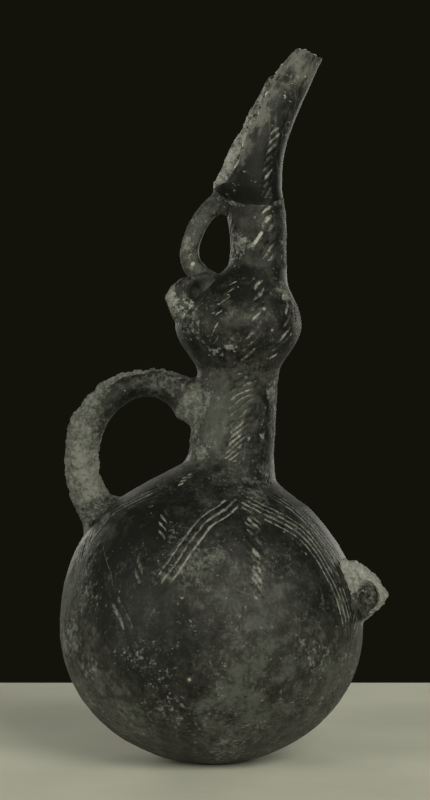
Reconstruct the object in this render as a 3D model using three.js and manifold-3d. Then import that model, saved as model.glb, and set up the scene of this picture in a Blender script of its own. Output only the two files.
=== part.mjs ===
// A hand-built pouring jug: round body, neck with a bulb, cutaway beak, two loop handles and two ears.
// Millimetres, +Z up. The jug stands on a small flattened base centred on the origin.
// The beak points to +X, both loop handles stand on the -X side, and all three lie in the XZ plane.
// Each mesh is one element that the potter formed apart and luted on with slip.
import * as THREE from "three";
import Module from "manifold-3d";
import { mergeVertices } from "three/addons/utils/BufferGeometryUtils.js";

const wasm = await Module();
wasm.setup();

// Driving dimensions of the joints
const GAP = 0.3; // clearance at every luted joint
const SCARF_SLOPE = 0.8; // fall of a scarfed seam across the wall, as a share of the wall
const SEAM_GAP = 0.36; // clearance along the outline at a seam of the wall, a little more for its facets
const BUTTON = 1.5; // how much deeper a tenon hole is than its tenon
const TENON_ROOT = 10; // how far a tenon reaches back into its handle
const TENON_SIDES = 20;

// Driving dimensions of the wall
const BODY_RADIUS = 89.2;
const WIDEST_HEIGHT = 77.6;
const BOWL_SEMI_HEIGHT = 79.5; // half-ellipse below the widest level
const DOME_SEMI_HEIGHT = 96; // half-ellipse above the widest level
const DOME_END_HEIGHT = 150; // where the dome gives way to the sweep of the neck
const BASE_WALL = 7;
const RIM_WALL = 4.7;
const NECK_TOP = 327;
const ROUND_SIDES = 40;

// Levels of the seams between the wall elements
const BODY_SEAM = 77.6;
const NECK_SEAM = 181;
const BULB_FOOT_SEAM = 231;
const BULB_SEAM = 256.6;
const BULB_TOP_SEAM = 290;

// Outline of the neck and bulb above the dome, as radius and height
const NECK_STATIONS = [
  [40.8, 161.8],
  [34.8, 167],
  [30.2, 171.8],
  [26, 176],
  [24.7, 184],
  [24.3, 205],
  [23.7, 225],
  [25.3, 233],
  [34.2, 246.8],
  [36.9, 256.6],
  [33.6, 266],
  [24.1, 280],
  [17.6, 290.5],
  [16.6, 300],
  [17.3, 314],
  [17.8, NECK_TOP],
];

// The leaning axis of the jug, as height and sideways offset
const AXIS_STATIONS = [
  [0, 0],
  [84, 0],
  [126, -1.8],
  [150, -2.2],
  [158, -1.3],
  [164.5, 0.8],
  [168, 3.7],
  [175, 10.4],
  [187, 12.1],
  [213, 13.8],
  [233, 16],
  [256, 15.8],
  [270, 18.4],
  [280, 21],
  [293, 27.4],
  [306, 27.9],
  [NECK_TOP, 25.7],
  [338, 21],
  [346, 20.2],
  [360, 22.3],
  [374, 27.9],
  [400, 42.1],
  [420, 54.8],
];

// Beak: half-width by height before the back is cut away
const BEAK_STATIONS = [
  [16.7, NECK_TOP],
  [20.9, 338],
  [21.7, 346],
  [21.3, 360],
  [19.9, 374],
  [17.1, 400],
  [13.7, 420],
];
const BEAK_WALL = 4.6;
const BEAK_TOP = 420;
const BEAK_TOP_FLATTENING = 0.68; // depth over width of the beak section at its top
const SPIGOT_DEPTH = 7;
const SPIGOT_WALL = 3.6;
const SPIGOT_RADIUS = 12.4;

// Lines of the cutaway seen from the side, from the back of the mouth up: far rim to the tip, then near rim
const CUTAWAY_LINE = [
  [-4, 333.5],
  [1.2, 337.5],
  [5.4, 350.2],
  [17, 373.6],
  [31.4, 400.6],
  [34.2, 403.2],
  [36.6, 403],
  [45, 414],
  [50.6, 418.6],
];
const NEAR_RIM_LINE = [
  [-4, 333.5],
  [1.5, 338.4],
  [9.8, 341.8],
  [16.9, 354.2],
  [22.8, 372],
  [31.1, 389.7],
  [36.6, 403],
];
const TIP_LOW_CORNER = [65.2, 413.3];
const CUT_CLEARANCE = 60; // how far the cutting solids run past the beak

// Loop handles: centre line as [x, z], half-thickness in the plane of the loop, half-width across it
const LARGE_HANDLE = {
  line: [
    [-6, 210.5],
    [-13, 213.5],
    [-22, 218.4],
    [-33, 221.8],
    [-47, 220.7],
    [-59.6, 214.2],
    [-68.5, 205.2],
    [-74.3, 194],
    [-77.1, 181],
    [-76, 167],
    [-72, 155],
    [-65.2, 144],
    [-61.5, 139],
  ],
  halfThickness: [14, 12.2, 9.4, 8, 8, 8.8, 9.3, 9.5, 9.6, 9.8, 10.4, 12.4, 13.6],
  halfWidth: [13, 11.6, 10.2, 9.6, 9.6, 10.2, 10.4, 10.4, 10.4, 10.4, 11, 13, 14.4],
  tenonRadius: 6.5,
  tenonDepth: 15,
  rings: 28,
  sides: 16,
};
const SMALL_HANDLE = {
  line: [
    [9, 329.6],
    [3, 327.6],
    [-2, 323.8],
    [-7.2, 316.8],
    [-11, 308.6],
    [-12.9, 300.6],
    [-11.8, 293],
    [-7, 286.2],
    [-2.4, 281.2],
    [1.4, 277.2],
  ],
  halfThickness: [7.4, 6.5, 5.5, 5.4, 5.4, 5.4, 5.6, 6.3, 8, 9],
  halfWidth: [7.4, 6.8, 6, 5.6, 5.5, 5.6, 5.8, 6.2, 7.2, 8],
  tenonRadius: 3.4,
  tenonDepth: 12,
  rings: 22,
  sides: 16,
};

// Ears: outline as [distance from the local axis, height], turned about that axis towards -Y
const BODY_EAR = {
  outline: [
    [78, 119],
    [90, 117],
    [100, 108.8],
    [104.8, 99.8],
    [100.4, 93.2],
    [90.8, 85.8],
    [80, 80],
  ],
  thickness: 17,
  round: 4.5,
  turn: 15,
  hollow: { at: [96.6, 99.8], half: [4.6, 6.8], depth: 6.4 },
};
const BULB_EAR = {
  outline: [
    [20, 284.4],
    [37.4, 283.8],
    [48.2, 275.4],
    [46.8, 269],
    [41.4, 260.4],
    [30, 254],
  ],
  thickness: 13,
  round: 3.6,
  turn: 180 - 16,
  hollow: { at: [35, 275], half: [3.9, 5.2], depth: 5.2 },
};
const HOLLOW_SIDES = 20;
const EAR_SIDES = 36;
const EAR_EDGE_ANGLES = [-90, -45, -1, 1, 45, 90]; // rounding of an ear's edge from one face to the other

// Returns a function that joins [input, output] stations with a smooth curve that never overshoots them.
function smoothThrough(stations) {
  const last = stations.length - 1;
  const slopes = [];
  for (let i = 0; i < last; i++) {
    slopes.push((stations[i + 1][1] - stations[i][1]) / (stations[i + 1][0] - stations[i][0]));
  }
  const tangents = stations.map((_, i) => {
    if (i === 0) return slopes[0];
    if (i === last) return slopes[last - 1];
    const product = slopes[i - 1] * slopes[i];
    return product > 0 ? (2 * product) / (slopes[i - 1] + slopes[i]) : 0;
  });
  return (input) => {
    let i = 0;
    while (i < last - 1 && input > stations[i + 1][0]) i++;
    const span = stations[i + 1][0] - stations[i][0];
    const t = THREE.MathUtils.clamp((input - stations[i][0]) / span, 0, 1);
    const rise = t * t * (3 - 2 * t);
    const leaving = t * (1 - t) * (1 - t) * span * tangents[i];
    const arriving = t * t * (t - 1) * span * tangents[i + 1];
    return stations[i][1] + (stations[i + 1][1] - stations[i][1]) * rise + leaving + arriving;
  };
}

const axisAt = smoothThrough(AXIS_STATIONS);

// Depth over width of a level section: round up to the neck top, then flatter towards the tip of the beak.
function flatteningAt(height) {
  const rise = THREE.MathUtils.clamp((height - NECK_TOP) / (BEAK_TOP - NECK_TOP), 0, 1);
  return THREE.MathUtils.lerp(1, BEAK_TOP_FLATTENING, rise);
}

function wallAt(height) {
  return THREE.MathUtils.lerp(BASE_WALL, RIM_WALL, THREE.MathUtils.clamp(height / NECK_TOP, 0, 1));
}

// Turns a closed geometry into a solid for the boolean cuts, leaving out faces that collapse to a line.
function solidFrom(geometry) {
  const bare = geometry.clone();
  bare.deleteAttribute("normal");
  bare.deleteAttribute("uv");
  const merged = mergeVertices(bare, 1e-4);
  const corners = merged.index.array;
  const kept = [];
  for (let i = 0; i < corners.length; i += 3) {
    const [a, b, c] = [corners[i], corners[i + 1], corners[i + 2]];
    if (a !== b && b !== c && c !== a) kept.push(a, b, c);
  }
  return new wasm.Manifold(
    new wasm.Mesh({
      numProp: 3,
      vertProperties: merged.attributes.position.array,
      triVerts: new Uint32Array(kept),
    }),
  );
}

// Wraps a finished solid as a named mesh with a clay finish of its own.
function clayMesh(name, solid, colour, roughness) {
  const made = solid.getMesh();
  const geometry = new THREE.BufferGeometry();
  geometry.setAttribute("position", new THREE.BufferAttribute(new Float32Array(made.vertProperties), 3));
  geometry.setIndex(new THREE.BufferAttribute(new Uint32Array(made.triVerts), 1));
  geometry.computeVertexNormals();
  const material = new THREE.MeshStandardMaterial({ color: colour, roughness, metalness: 0 });
  const mesh = new THREE.Mesh(geometry, material);
  mesh.name = name;
  return mesh;
}

// Turns a profile of [radius, height] points about the leaning axis.
function turned(points) {
  const profile = points.map(([radius, height]) => new THREE.Vector2(radius, height));
  const geometry = new THREE.LatheGeometry(profile, ROUND_SIDES);
  geometry.rotateX(Math.PI / 2);
  const position = geometry.attributes.position;
  for (let i = 0; i < position.count; i++) {
    const height = position.getZ(i);
    position.setX(i, position.getX(i) + axisAt(height));
    position.setY(i, position.getY(i) * flatteningAt(height));
  }
  return solidFrom(geometry);
}

// Outer outline of the wall from the edge of the flat base to the neck top.
function wallOutline() {
  const flatAngle = Math.asin(-WIDEST_HEIGHT / BOWL_SEMI_HEIGHT);
  const domeEnd = Math.asin((DOME_END_HEIGHT - WIDEST_HEIGHT) / DOME_SEMI_HEIGHT);
  const path = new THREE.Path();
  path.moveTo(BODY_RADIUS * Math.cos(flatAngle), 0);
  path.absellipse(0, WIDEST_HEIGHT, BODY_RADIUS, BOWL_SEMI_HEIGHT, flatAngle, 0, false);
  path.absellipse(0, WIDEST_HEIGHT, BODY_RADIUS, DOME_SEMI_HEIGHT, 0, domeEnd, false);
  path.splineThru(NECK_STATIONS.map(([radius, height]) => new THREE.Vector2(radius, height)));
  return path;
}

const outline = wallOutline();
const outlineLength = outline.getLength();

// Distance along the outline at which it reaches a height.
function distanceAt(height) {
  let low = 0;
  let high = outlineLength;
  while (high - low > 1e-4) {
    const middle = (low + high) / 2;
    if (outline.getPointAt(middle / outlineLength).y < height) low = middle;
    else high = middle;
  }
  return (low + high) / 2;
}

// Point of the outline at a distance along it, moved inwards square to the outline by a depth.
function wallPoint(distance, depth) {
  const share = THREE.MathUtils.clamp(distance / outlineLength, 0, 1);
  const point = outline.getPointAt(share);
  const tangent = outline.getTangentAt(share);
  return [point.x - depth * tangent.y, point.y + depth * tangent.x];
}

// One ring of the wall between two distances along the outline, with scarfed ends unless an end is square.
function wallRing({ from, to, outerRows, innerRows, fromScarf = 1, toScarf = 1 }) {
  const profile = [];
  for (let i = 0; i <= outerRows; i++) {
    profile.push(wallPoint(THREE.MathUtils.lerp(from, to, i / outerRows), 0));
  }
  const scarf = (distance, share) => share * SCARF_SLOPE * wallAt(wallPoint(distance, 0)[1]);
  const innerTo = to - scarf(to, toScarf);
  const innerFrom = from - scarf(from, fromScarf);
  for (let i = 0; i <= innerRows; i++) {
    const distance = THREE.MathUtils.lerp(innerTo, innerFrom, i / innerRows);
    profile.push(wallPoint(distance, wallAt(wallPoint(distance, 0)[1])));
  }
  profile.push(profile[0]);
  return turned(profile);
}

// The lower half of the body, closed below by the flattened base.
function baseBowl(to) {
  const outerRows = 12;
  const innerRows = 7;
  const profile = [[0, 0]];
  for (let i = 0; i <= outerRows; i++) {
    profile.push(wallPoint((to * i) / outerRows, 0));
  }
  const innerTo = to - SCARF_SLOPE * wallAt(BODY_SEAM);
  for (let i = innerRows; i >= 0; i--) {
    const distance = (innerTo * i) / innerRows;
    profile.push(wallPoint(distance, wallAt(wallPoint(distance, 0)[1])));
  }
  profile.push([0, BASE_WALL]);
  return turned(profile);
}

// The whole outside of the jug's wall as a solid, grown outwards, used to trim what is luted on to it.
function grownWall(growth) {
  const rows = 110;
  const profile = [[0, -growth]];
  for (let i = 0; i <= rows; i++) {
    profile.push(wallPoint((outlineLength * i) / rows, -growth));
  }
  profile.push([wallPoint(outlineLength, -growth)[0], NECK_TOP + growth], [0, NECK_TOP + growth]);
  return turned(profile);
}

// Outer points of the beak before the cut, from its foot on the neck rim to above the tip.
function beakOutline(growth) {
  const widthAt = smoothThrough(BEAK_STATIONS.map(([width, height]) => [height, width]));
  const rows = 15;
  const points = [];
  for (let i = 0; i <= rows; i++) {
    const height = THREE.MathUtils.lerp(NECK_TOP + GAP, BEAK_TOP, i / rows);
    points.push([widthAt(height) + growth, height]);
  }
  return points;
}

// A solid with a given side view, standing between two depths along Y.
function cuttingPrism(points, nearY, farY) {
  const shape = new THREE.Shape(points.map(([x, z]) => new THREE.Vector2(x, z)));
  const geometry = new THREE.ExtrudeGeometry(shape, { depth: farY - nearY, bevelEnabled: false });
  geometry.translate(0, 0, -farY);
  geometry.rotateX(Math.PI / 2);
  return solidFrom(geometry);
}

// What is cut from the beak: all behind the cutaway line and past the tip, and more on the near side.
function beakCut() {
  const [backX, backZ] = CUTAWAY_LINE[0];
  const [tipX, tipZ] = CUTAWAY_LINE.at(-1);
  const [lowX, lowZ] = TIP_LOW_CORNER;
  const pastTip = [3 * lowX - 2 * tipX, 3 * lowZ - 2 * tipZ];
  const start = [backX - CUT_CLEARANCE, backZ - CUT_CLEARANCE / 2];
  const top = BEAK_TOP + CUT_CLEARANCE;
  const wholeView = [start, ...CUTAWAY_LINE, pastTip, [pastTip[0], top], [start[0], top]];
  const nearView = [start, ...NEAR_RIM_LINE, [start[0], top]];
  const whole = cuttingPrism(wholeView, -CUT_CLEARANCE, CUT_CLEARANCE);
  return whole.add(cuttingPrism(nearView, -CUT_CLEARANCE, 0));
}

// The beak: a flaring tube with a spigot below, its back cut away into an open trough.
function beakSpout() {
  const outer = beakOutline(0);
  const innerRows = 12;
  const boreRadius = SPIGOT_RADIUS - SPIGOT_WALL;
  const inner = beakOutline(-BEAK_WALL).filter(([, height]) => height > NECK_TOP + BEAK_WALL);
  const stride = Math.ceil(inner.length / innerRows);
  const thinned = inner.filter((_, i) => i % stride === 0 || i === inner.length - 1);
  const spigotFoot = NECK_TOP - SPIGOT_DEPTH;
  const profile = [
    [boreRadius, spigotFoot],
    [SPIGOT_RADIUS, spigotFoot],
    [SPIGOT_RADIUS, NECK_TOP + GAP],
    ...outer,
    ...thinned.reverse(),
    [boreRadius, NECK_TOP],
    [boreRadius, spigotFoot],
  ];
  return turned(profile).subtract(beakCut());
}

// The outside of the beak as a solid, used to trim the root of the small handle.
function grownBeak(growth) {
  const foot = NECK_TOP - SPIGOT_DEPTH;
  const footRadius = BEAK_STATIONS[0][0] + growth;
  return turned([[0, foot], [footRadius, foot], ...beakOutline(growth), [0, BEAK_TOP]]);
}

// A smooth curve through side-view points in the XZ plane.
function curveThrough(points, closed) {
  const stations = points.map(([x, z]) => new THREE.Vector3(x, 0, z));
  return new THREE.CatmullRomCurve3(stations, closed, "centripetal");
}

function middleOf(points) {
  const sum = new THREE.Vector3();
  points.forEach((point) => sum.add(point));
  return sum.divideScalar(points.length);
}

// Skins a row of equal rings of points and closes both ends with a fan.
function skin(rings) {
  const sides = rings[0].length;
  const points = [...rings.flat(), middleOf(rings[0]), middleOf(rings.at(-1))];
  const startPole = points.length - 2;
  const endPole = points.length - 1;
  const lastRing = (rings.length - 1) * sides;
  const faces = [];
  for (let side = 0; side < sides; side++) {
    const next = (side + 1) % sides;
    for (let a = side, b = next; a < lastRing; a += sides, b += sides) {
      faces.push(a, b, b + sides, a, b + sides, a + sides);
    }
    faces.push(startPole, next, side, endPole, lastRing + side, lastRing + next);
  }
  const geometry = new THREE.BufferGeometry().setFromPoints(points);
  geometry.setIndex(faces);
  return solidFrom(geometry);
}

// A roll of clay along a centre line in the XZ plane, oval in section, thickening as stated.
function clayRoll({ line, halfThickness, halfWidth, rings, sides }, growth) {
  const curve = curveThrough(line, false);
  const stationed = (values) => smoothThrough(values.map((value, i) => [i / (values.length - 1), value]));
  const thicknessAt = stationed(halfThickness);
  const widthAt = stationed(halfWidth);
  const across = new THREE.Vector3(0, 1, 0);
  const ringAt = (share) => {
    const centre = curve.getPoint(share);
    const outward = curve.getTangent(share).cross(across).normalize();
    return Array.from({ length: sides }, (_, side) => {
      const angle = (2 * Math.PI * side) / sides;
      const point = centre.clone();
      point.addScaledVector(outward, (thicknessAt(share) + growth) * Math.cos(angle));
      return point.addScaledVector(across, -(widthAt(share) + growth) * Math.sin(angle));
    });
  };
  return skin(Array.from({ length: rings + 1 }, (_, ring) => ringAt(ring / rings)));
}

// The round peg at the lower end of a handle, running on along its last stretch through the wall.
function tenon({ line, tenonRadius, tenonDepth }, deeper, growth) {
  const [beforeX, beforeZ] = line.at(-2);
  const [endX, endZ] = line.at(-1);
  const before = new THREE.Vector3(beforeX, 0, beforeZ);
  const heading = new THREE.Vector3(endX, 0, endZ).sub(before).normalize();
  const radius = tenonRadius + growth;
  const length = TENON_ROOT + tenonDepth + deeper;
  const geometry = new THREE.CylinderGeometry(radius, radius, length, TENON_SIDES);
  geometry.translate(0, length / 2 - TENON_ROOT, 0);
  geometry.applyQuaternion(new THREE.Quaternion().setFromUnitVectors(new THREE.Vector3(0, 1, 0), heading));
  geometry.translate(before.x, 0, before.z);
  return solidFrom(geometry);
}

// An ear: a slab with rounded edges standing out from the wall, with a string hollow sunk in each face.
function ear({ outline: points, thickness, round, turn, hollow }, axisX) {
  const edge = curveThrough(points, true).getSpacedPoints(EAR_SIDES).slice(1);
  const centre = middleOf(edge);
  const layer = (angle) => {
    const depth = Math.sign(angle) * (thickness / 2 - round) + round * Math.sin(angle);
    const inset = round * (1 - Math.cos(angle));
    return edge.map((point) => {
      const spoke = point.clone().sub(centre);
      spoke.setLength(spoke.length() - inset);
      return centre.clone().add(spoke).setY(depth);
    });
  };
  const place = new THREE.Matrix4().makeRotationZ(-THREE.MathUtils.degToRad(turn)).setPosition(axisX, 0, 0);
  const rings = EAR_EDGE_ANGLES.map((degrees) => layer(THREE.MathUtils.degToRad(degrees)));
  let made = skin(rings.map((ring) => ring.map((point) => point.applyMatrix4(place))));
  for (const face of [-1, 1]) {
    const sunk = new THREE.CylinderGeometry(1, 1, 2 * hollow.depth, HOLLOW_SIDES);
    sunk.scale(hollow.half[0], 1, hollow.half[1]);
    sunk.translate(hollow.at[0], (face * thickness) / 2, hollow.at[1]);
    sunk.applyMatrix4(place);
    made = made.subtract(solidFrom(sunk));
  }
  return made;
}

// Assembly
const below = (height) => distanceAt(height) - SEAM_GAP / 2;
const above = (height) => distanceAt(height) + SEAM_GAP / 2;

const jugWall = grownWall(GAP);

const shoulder = wallRing({ from: above(BODY_SEAM), to: below(NECK_SEAM), outerRows: 15, innerRows: 8 })
  .subtract(tenon(LARGE_HANDLE, BUTTON, GAP));
const bulbTop = wallRing({ from: above(BULB_SEAM), to: below(BULB_TOP_SEAM), outerRows: 8, innerRows: 4 })
  .subtract(tenon(SMALL_HANDLE, BUTTON, GAP));
const largeHandle = clayRoll(LARGE_HANDLE, 0)
  .subtract(jugWall)
  .add(tenon(LARGE_HANDLE, 0, 0));
const smallHandle = clayRoll(SMALL_HANDLE, 0)
  .subtract(jugWall)
  .subtract(grownBeak(GAP))
  .add(tenon(SMALL_HANDLE, 0, 0));

const jug = new THREE.Group();
jug.name = "beaked_jug";

const body = new THREE.Group();
body.name = "body";
body.add(clayMesh("base_bowl", baseBowl(below(BODY_SEAM)), 0x3a3a31, 0.62));
body.add(clayMesh("shoulder", shoulder, 0x47483f, 0.58));
body.add(clayMesh("body_ear", ear(BODY_EAR, 0).subtract(jugWall), 0x727369, 0.85));

const neck = new THREE.Group();
neck.name = "neck";
const lowerNeckRing = { from: above(NECK_SEAM), to: below(BULB_FOOT_SEAM), outerRows: 9, innerRows: 4 };
const bulbCupRing = { from: above(BULB_FOOT_SEAM), to: below(BULB_SEAM), outerRows: 7, innerRows: 4 };
const upperNeckRing = {
  from: above(BULB_TOP_SEAM),
  to: outlineLength,
  outerRows: 8,
  innerRows: 4,
  toScarf: 0,
};
neck.add(clayMesh("lower_neck", wallRing(lowerNeckRing), 0x505248, 0.66));
neck.add(clayMesh("bulb_cup", wallRing(bulbCupRing), 0x34352c, 0.6));
neck.add(clayMesh("bulb_dome", bulbTop, 0x32332a, 0.6));
neck.add(clayMesh("upper_neck", wallRing(upperNeckRing), 0x2d2e27, 0.64));
neck.add(clayMesh("beak_spout", beakSpout(), 0x44453e, 0.68));

const grips = new THREE.Group();
grips.name = "grips";
const bulbAxis = axisAt(BULB_EAR.hollow.at[1]);
const bulbEar = ear(BULB_EAR, bulbAxis)
  .subtract(jugWall)
  .subtract(clayRoll(SMALL_HANDLE, GAP));
grips.add(clayMesh("large_handle", largeHandle, 0x62635b, 0.82));
grips.add(clayMesh("small_handle", smallHandle, 0x525349, 0.78));
grips.add(clayMesh("bulb_ear", bulbEar, 0x727369, 0.85));

jug.add(body, neck, grips);

export default jug;
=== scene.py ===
"""Dresses a hand-built beaked jug: dark burnished walls, a beak, loop handles and ears.

Incised strokes filled with lime cover it. Sizes are in millimetres until a mesh is made. The frame is the
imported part's: +Z up, beak towards +X, seen from -Y. An azimuth is in degrees round the jug, 0 at the front
(-Y) and 90 on the side of the beak (+X).
"""

import logging
from dataclasses import dataclass, field, replace
from enum import Enum
from typing import ClassVar, Sequence

import bpy
import numpy as np
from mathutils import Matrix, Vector


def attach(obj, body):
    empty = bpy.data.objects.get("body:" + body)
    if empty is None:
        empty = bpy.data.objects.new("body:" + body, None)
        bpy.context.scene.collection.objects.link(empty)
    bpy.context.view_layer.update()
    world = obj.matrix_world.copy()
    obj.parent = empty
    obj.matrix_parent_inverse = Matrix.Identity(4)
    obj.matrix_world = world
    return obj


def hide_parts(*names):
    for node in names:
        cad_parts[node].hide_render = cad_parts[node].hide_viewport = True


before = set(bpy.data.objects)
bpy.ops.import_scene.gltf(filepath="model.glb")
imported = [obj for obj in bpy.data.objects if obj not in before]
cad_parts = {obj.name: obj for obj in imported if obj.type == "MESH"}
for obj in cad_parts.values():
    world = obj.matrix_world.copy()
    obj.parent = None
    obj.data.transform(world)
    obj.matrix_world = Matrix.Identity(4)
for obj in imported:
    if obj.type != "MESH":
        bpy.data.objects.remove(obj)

LOG = logging.getLogger("jug")
# Metres in a millimetre, and the frame's only body.
MM = 0.001
BODY = "root"
# Edges that turn more than this stay sharp.
SHARP_ANGLE = np.radians(62)
# The strokes mask where no stroke runs.
BARE = np.array([0.0, 0.0, -1.0])
# Faces that lie closer to the wall than this slope are spread less by a fillet.
LEAST_SLOPE = 0.2

Array = np.ndarray
Colour = tuple[float, float, float]
Station = tuple[float, ...]


class Slot(Enum):
    """The record's material slots."""

    BODY = "body_clay"
    NECK = "neck_clay"
    BULB = "bulb_clay"
    BEAK = "beak_clay"
    HANDLE = "handle_clay"
    EAR = "ear_clay"


class Slant(Enum):
    """Which way an incised dash leans, seen from outside with the jug upright."""

    RISING = 1.0
    FALLING = -1.0


# Curves and grids


class SmoothCurve:
    """A smooth curve through stations that never overshoots them.

    Between each pair of stations it is a cubic. Its slope at a station is the harmonic mean of the slopes of
    the straight steps on either side, or level where the steps turn.
    """

    def __init__(self, stations: Sequence[Station]) -> None:
        """Stores the stations and works out their slopes.

        Args:
            stations: pairs of input and output, the inputs rising.
        """
        self.inputs, self.outputs = np.array(stations, float).T
        slopes = np.diff(self.outputs) / np.diff(self.inputs)
        product = slopes[:-1] * slopes[1:]
        total = np.where(product > 0, slopes[:-1] + slopes[1:], 1.0)
        middle = np.where(product > 0, 2 * product / total, 0.0)
        self.slopes = np.concatenate([slopes[:1], middle, slopes[-1:]])

    def __call__(self, value: Array | float) -> Array:
        """Evaluates the curve, holding its end values beyond the ends.

        Args:
            value: where to evaluate it.

        Returns:
            The outputs, in the shape of value.
        """
        value = np.clip(value, self.inputs[0], self.inputs[-1])
        span = np.clip(np.searchsorted(self.inputs, value, side="right") - 1, 0, len(self.inputs) - 2)
        width = self.inputs[span + 1] - self.inputs[span]
        share = (value - self.inputs[span]) / width
        rise = share**2 * (3 - 2 * share)
        leaving = share * (1 - share) ** 2 * width * self.slopes[span]
        arriving = share**2 * (share - 1) * width * self.slopes[span + 1]
        return self.outputs[span] + (self.outputs[span + 1] - self.outputs[span]) * rise + leaving + arriving


def smooth_step(low: float, high: float, value: Array) -> Array:
    """Eases from 0 at low to 1 at high: three times the square of the share less twice its cube."""
    share = np.clip((value - low) / (high - low), 0, 1)
    return share**2 * (3 - 2 * share)


def through_points(points: Array, per_span: int, closed: bool = False) -> Array:
    """Carries a smooth curve through points.

    In each span it is a cubic. Its slope at a point is half the chord between the neighbours of that point.

    Args:
        points: stations in rows, with any number of columns.
        per_span: samples in each span.
        closed: whether the curve returns to its first station.

    Returns:
        The samples in rows; an open curve ends on its last station, a closed one stops short of its first.
    """
    ends = (points[-1:], points[:2]) if closed else (points[:1], points[-1:])
    padded = np.vstack([ends[0], points, ends[1]])
    before, start, end, after = padded[:-3], padded[1:-2], padded[2:-1], padded[3:]
    share = np.linspace(0, 1, per_span, endpoint=False)[None, :, None]
    slope_start = 0.5 * (end - before)[:, None]
    slope_end = 0.5 * (after - start)[:, None]
    start, end = start[:, None], end[:, None]
    cubic = (2 * start - 2 * end + slope_start + slope_end) * share**3
    square = (3 * end - 3 * start - 2 * slope_start - slope_end) * share**2
    samples = (cubic + square + slope_start * share + start).reshape(-1, points.shape[1])
    return samples if closed else np.vstack([samples, points[-1:]])


def running_length(path: Array) -> Array:
    """Distance from the start of a path to each of its points."""
    return np.concatenate([[0.0], np.cumsum(np.linalg.norm(np.diff(path, axis=0), axis=1))])


def evenly(path: Array, count: int) -> Array:
    """Picks evenly spaced rows along a path.

    Args:
        path: rows of a path: its place in the first two columns, anything else after them.
        count: how many rows to return.

    Returns:
        The rows, interpolated in every column.
    """
    length = running_length(path[:, :2])
    wanted = np.linspace(0, length[-1], count)
    return np.stack([np.interp(wanted, length, column) for column in path.T], axis=1)


def grid_quads(grid: Array) -> Array:
    """Four-sided faces between the rows and columns of a grid of point numbers."""
    corners = [grid[:-1, :-1], grid[:-1, 1:], grid[1:, 1:], grid[1:, :-1]]
    return np.stack(corners, axis=-1).reshape(-1, 4)


def round_grid(rows: int, columns: int) -> Array:
    """Point numbers of a grid whose last column is its first again."""
    grid = np.arange(rows * columns).reshape(rows, columns)
    return np.hstack([grid, grid[:, :1]])


def fan(ring: Array, pole: int) -> Array:
    """Triangles from a closed ring of point numbers, first number repeated at its end, to a pole."""
    return np.stack([ring[:-1], ring[1:], np.full(len(ring) - 1, pole)], axis=-1)


NO_TRIANGLES = np.zeros((0, 3), int)


@dataclass
class Skin:
    """A surface as arrays: points in millimetres, faces of four and three sides, and masks by point."""

    points: Array
    quads: Array
    triangles: Array = field(default_factory=lambda: NO_TRIANGLES)
    masks: dict[str, Array] = field(default_factory=dict)

    def all_triangles(self) -> Array:
        """Every face as triangles, each four-sided face split along a diagonal."""
        return np.vstack([self.quads[:, [0, 1, 2]], self.quads[:, [0, 2, 3]], self.triangles])

    def normals(self) -> Array:
        """Outward direction at each point: the sum of the area vectors of the faces round it, one long.

        Returns:
            One direction per point.
        """
        faces = self.all_triangles()
        first, second, third = (self.points[faces[:, corner]] for corner in range(3))
        facing = np.cross(second - first, third - first)
        total = np.zeros_like(self.points)
        for corner in range(3):
            for axis in range(3):
                total[:, axis] += np.bincount(faces[:, corner], facing[:, axis], len(self.points))
        return total / np.maximum(np.linalg.norm(total, axis=1, keepdims=True), 1e-12)

    def faced_outwards(self) -> "Skin":
        """Turns every face round if the enclosed volume comes out negative.

        Returns:
            The same skin.
        """
        first, second, third = (self.points[self.all_triangles()[:, corner]] for corner in range(3))
        if np.einsum("ij,ij->", first, np.cross(second, third)) < 0:
            self.quads = self.quads[:, ::-1]
            self.triangles = self.triangles[:, ::-1]
        return self

    def trimmed(self) -> "Skin":
        """Drops the points that no face uses and renumbers the rest.

        Returns:
            The smaller skin.
        """
        used = np.unique(np.concatenate([self.quads.ravel(), self.triangles.ravel()]))
        number = np.full(len(self.points), -1)
        number[used] = np.arange(len(used))
        masks = {name: values[used] for name, values in self.masks.items()}
        return Skin(self.points[used], number[self.quads], number[self.triangles], masks)

    def to_object(self, name: str) -> bpy.types.Object:
        """Writes the surface into a new mesh object at the origin, in metres, its masks as point attributes.

        Args:
            name: name of the object and its mesh.

        Returns:
            The linked object.
        """
        mesh = bpy.data.meshes.new(name)
        corners = np.concatenate([self.quads.ravel(), self.triangles.ravel()])
        sizes = np.concatenate([np.full(len(self.quads), 4), np.full(len(self.triangles), 3)])
        starts = np.cumsum(sizes) - sizes
        mesh.vertices.add(len(self.points))
        mesh.vertices.foreach_set("co", (self.points * MM).astype(np.float32).ravel())
        mesh.loops.add(len(corners))
        mesh.loops.foreach_set("vertex_index", corners.astype(np.int32))
        mesh.polygons.add(len(sizes))
        mesh.polygons.foreach_set("loop_start", starts.astype(np.int32))
        mesh.polygons.foreach_set("use_smooth", np.ones(len(sizes), bool))
        mesh.update(calc_edges=True)
        mesh.validate()
        mesh.set_sharp_from_angle(angle=SHARP_ANGLE)
        for mask, values in self.masks.items():
            flat = values.ndim == 1
            attribute = mesh.attributes.new(mask, "FLOAT" if flat else "FLOAT_VECTOR", "POINT")
            attribute.data.foreach_set("value" if flat else "vector", values.astype(np.float32).ravel())
        made = bpy.data.objects.new(name, mesh)
        bpy.context.scene.collection.objects.link(made)
        return made


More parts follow.
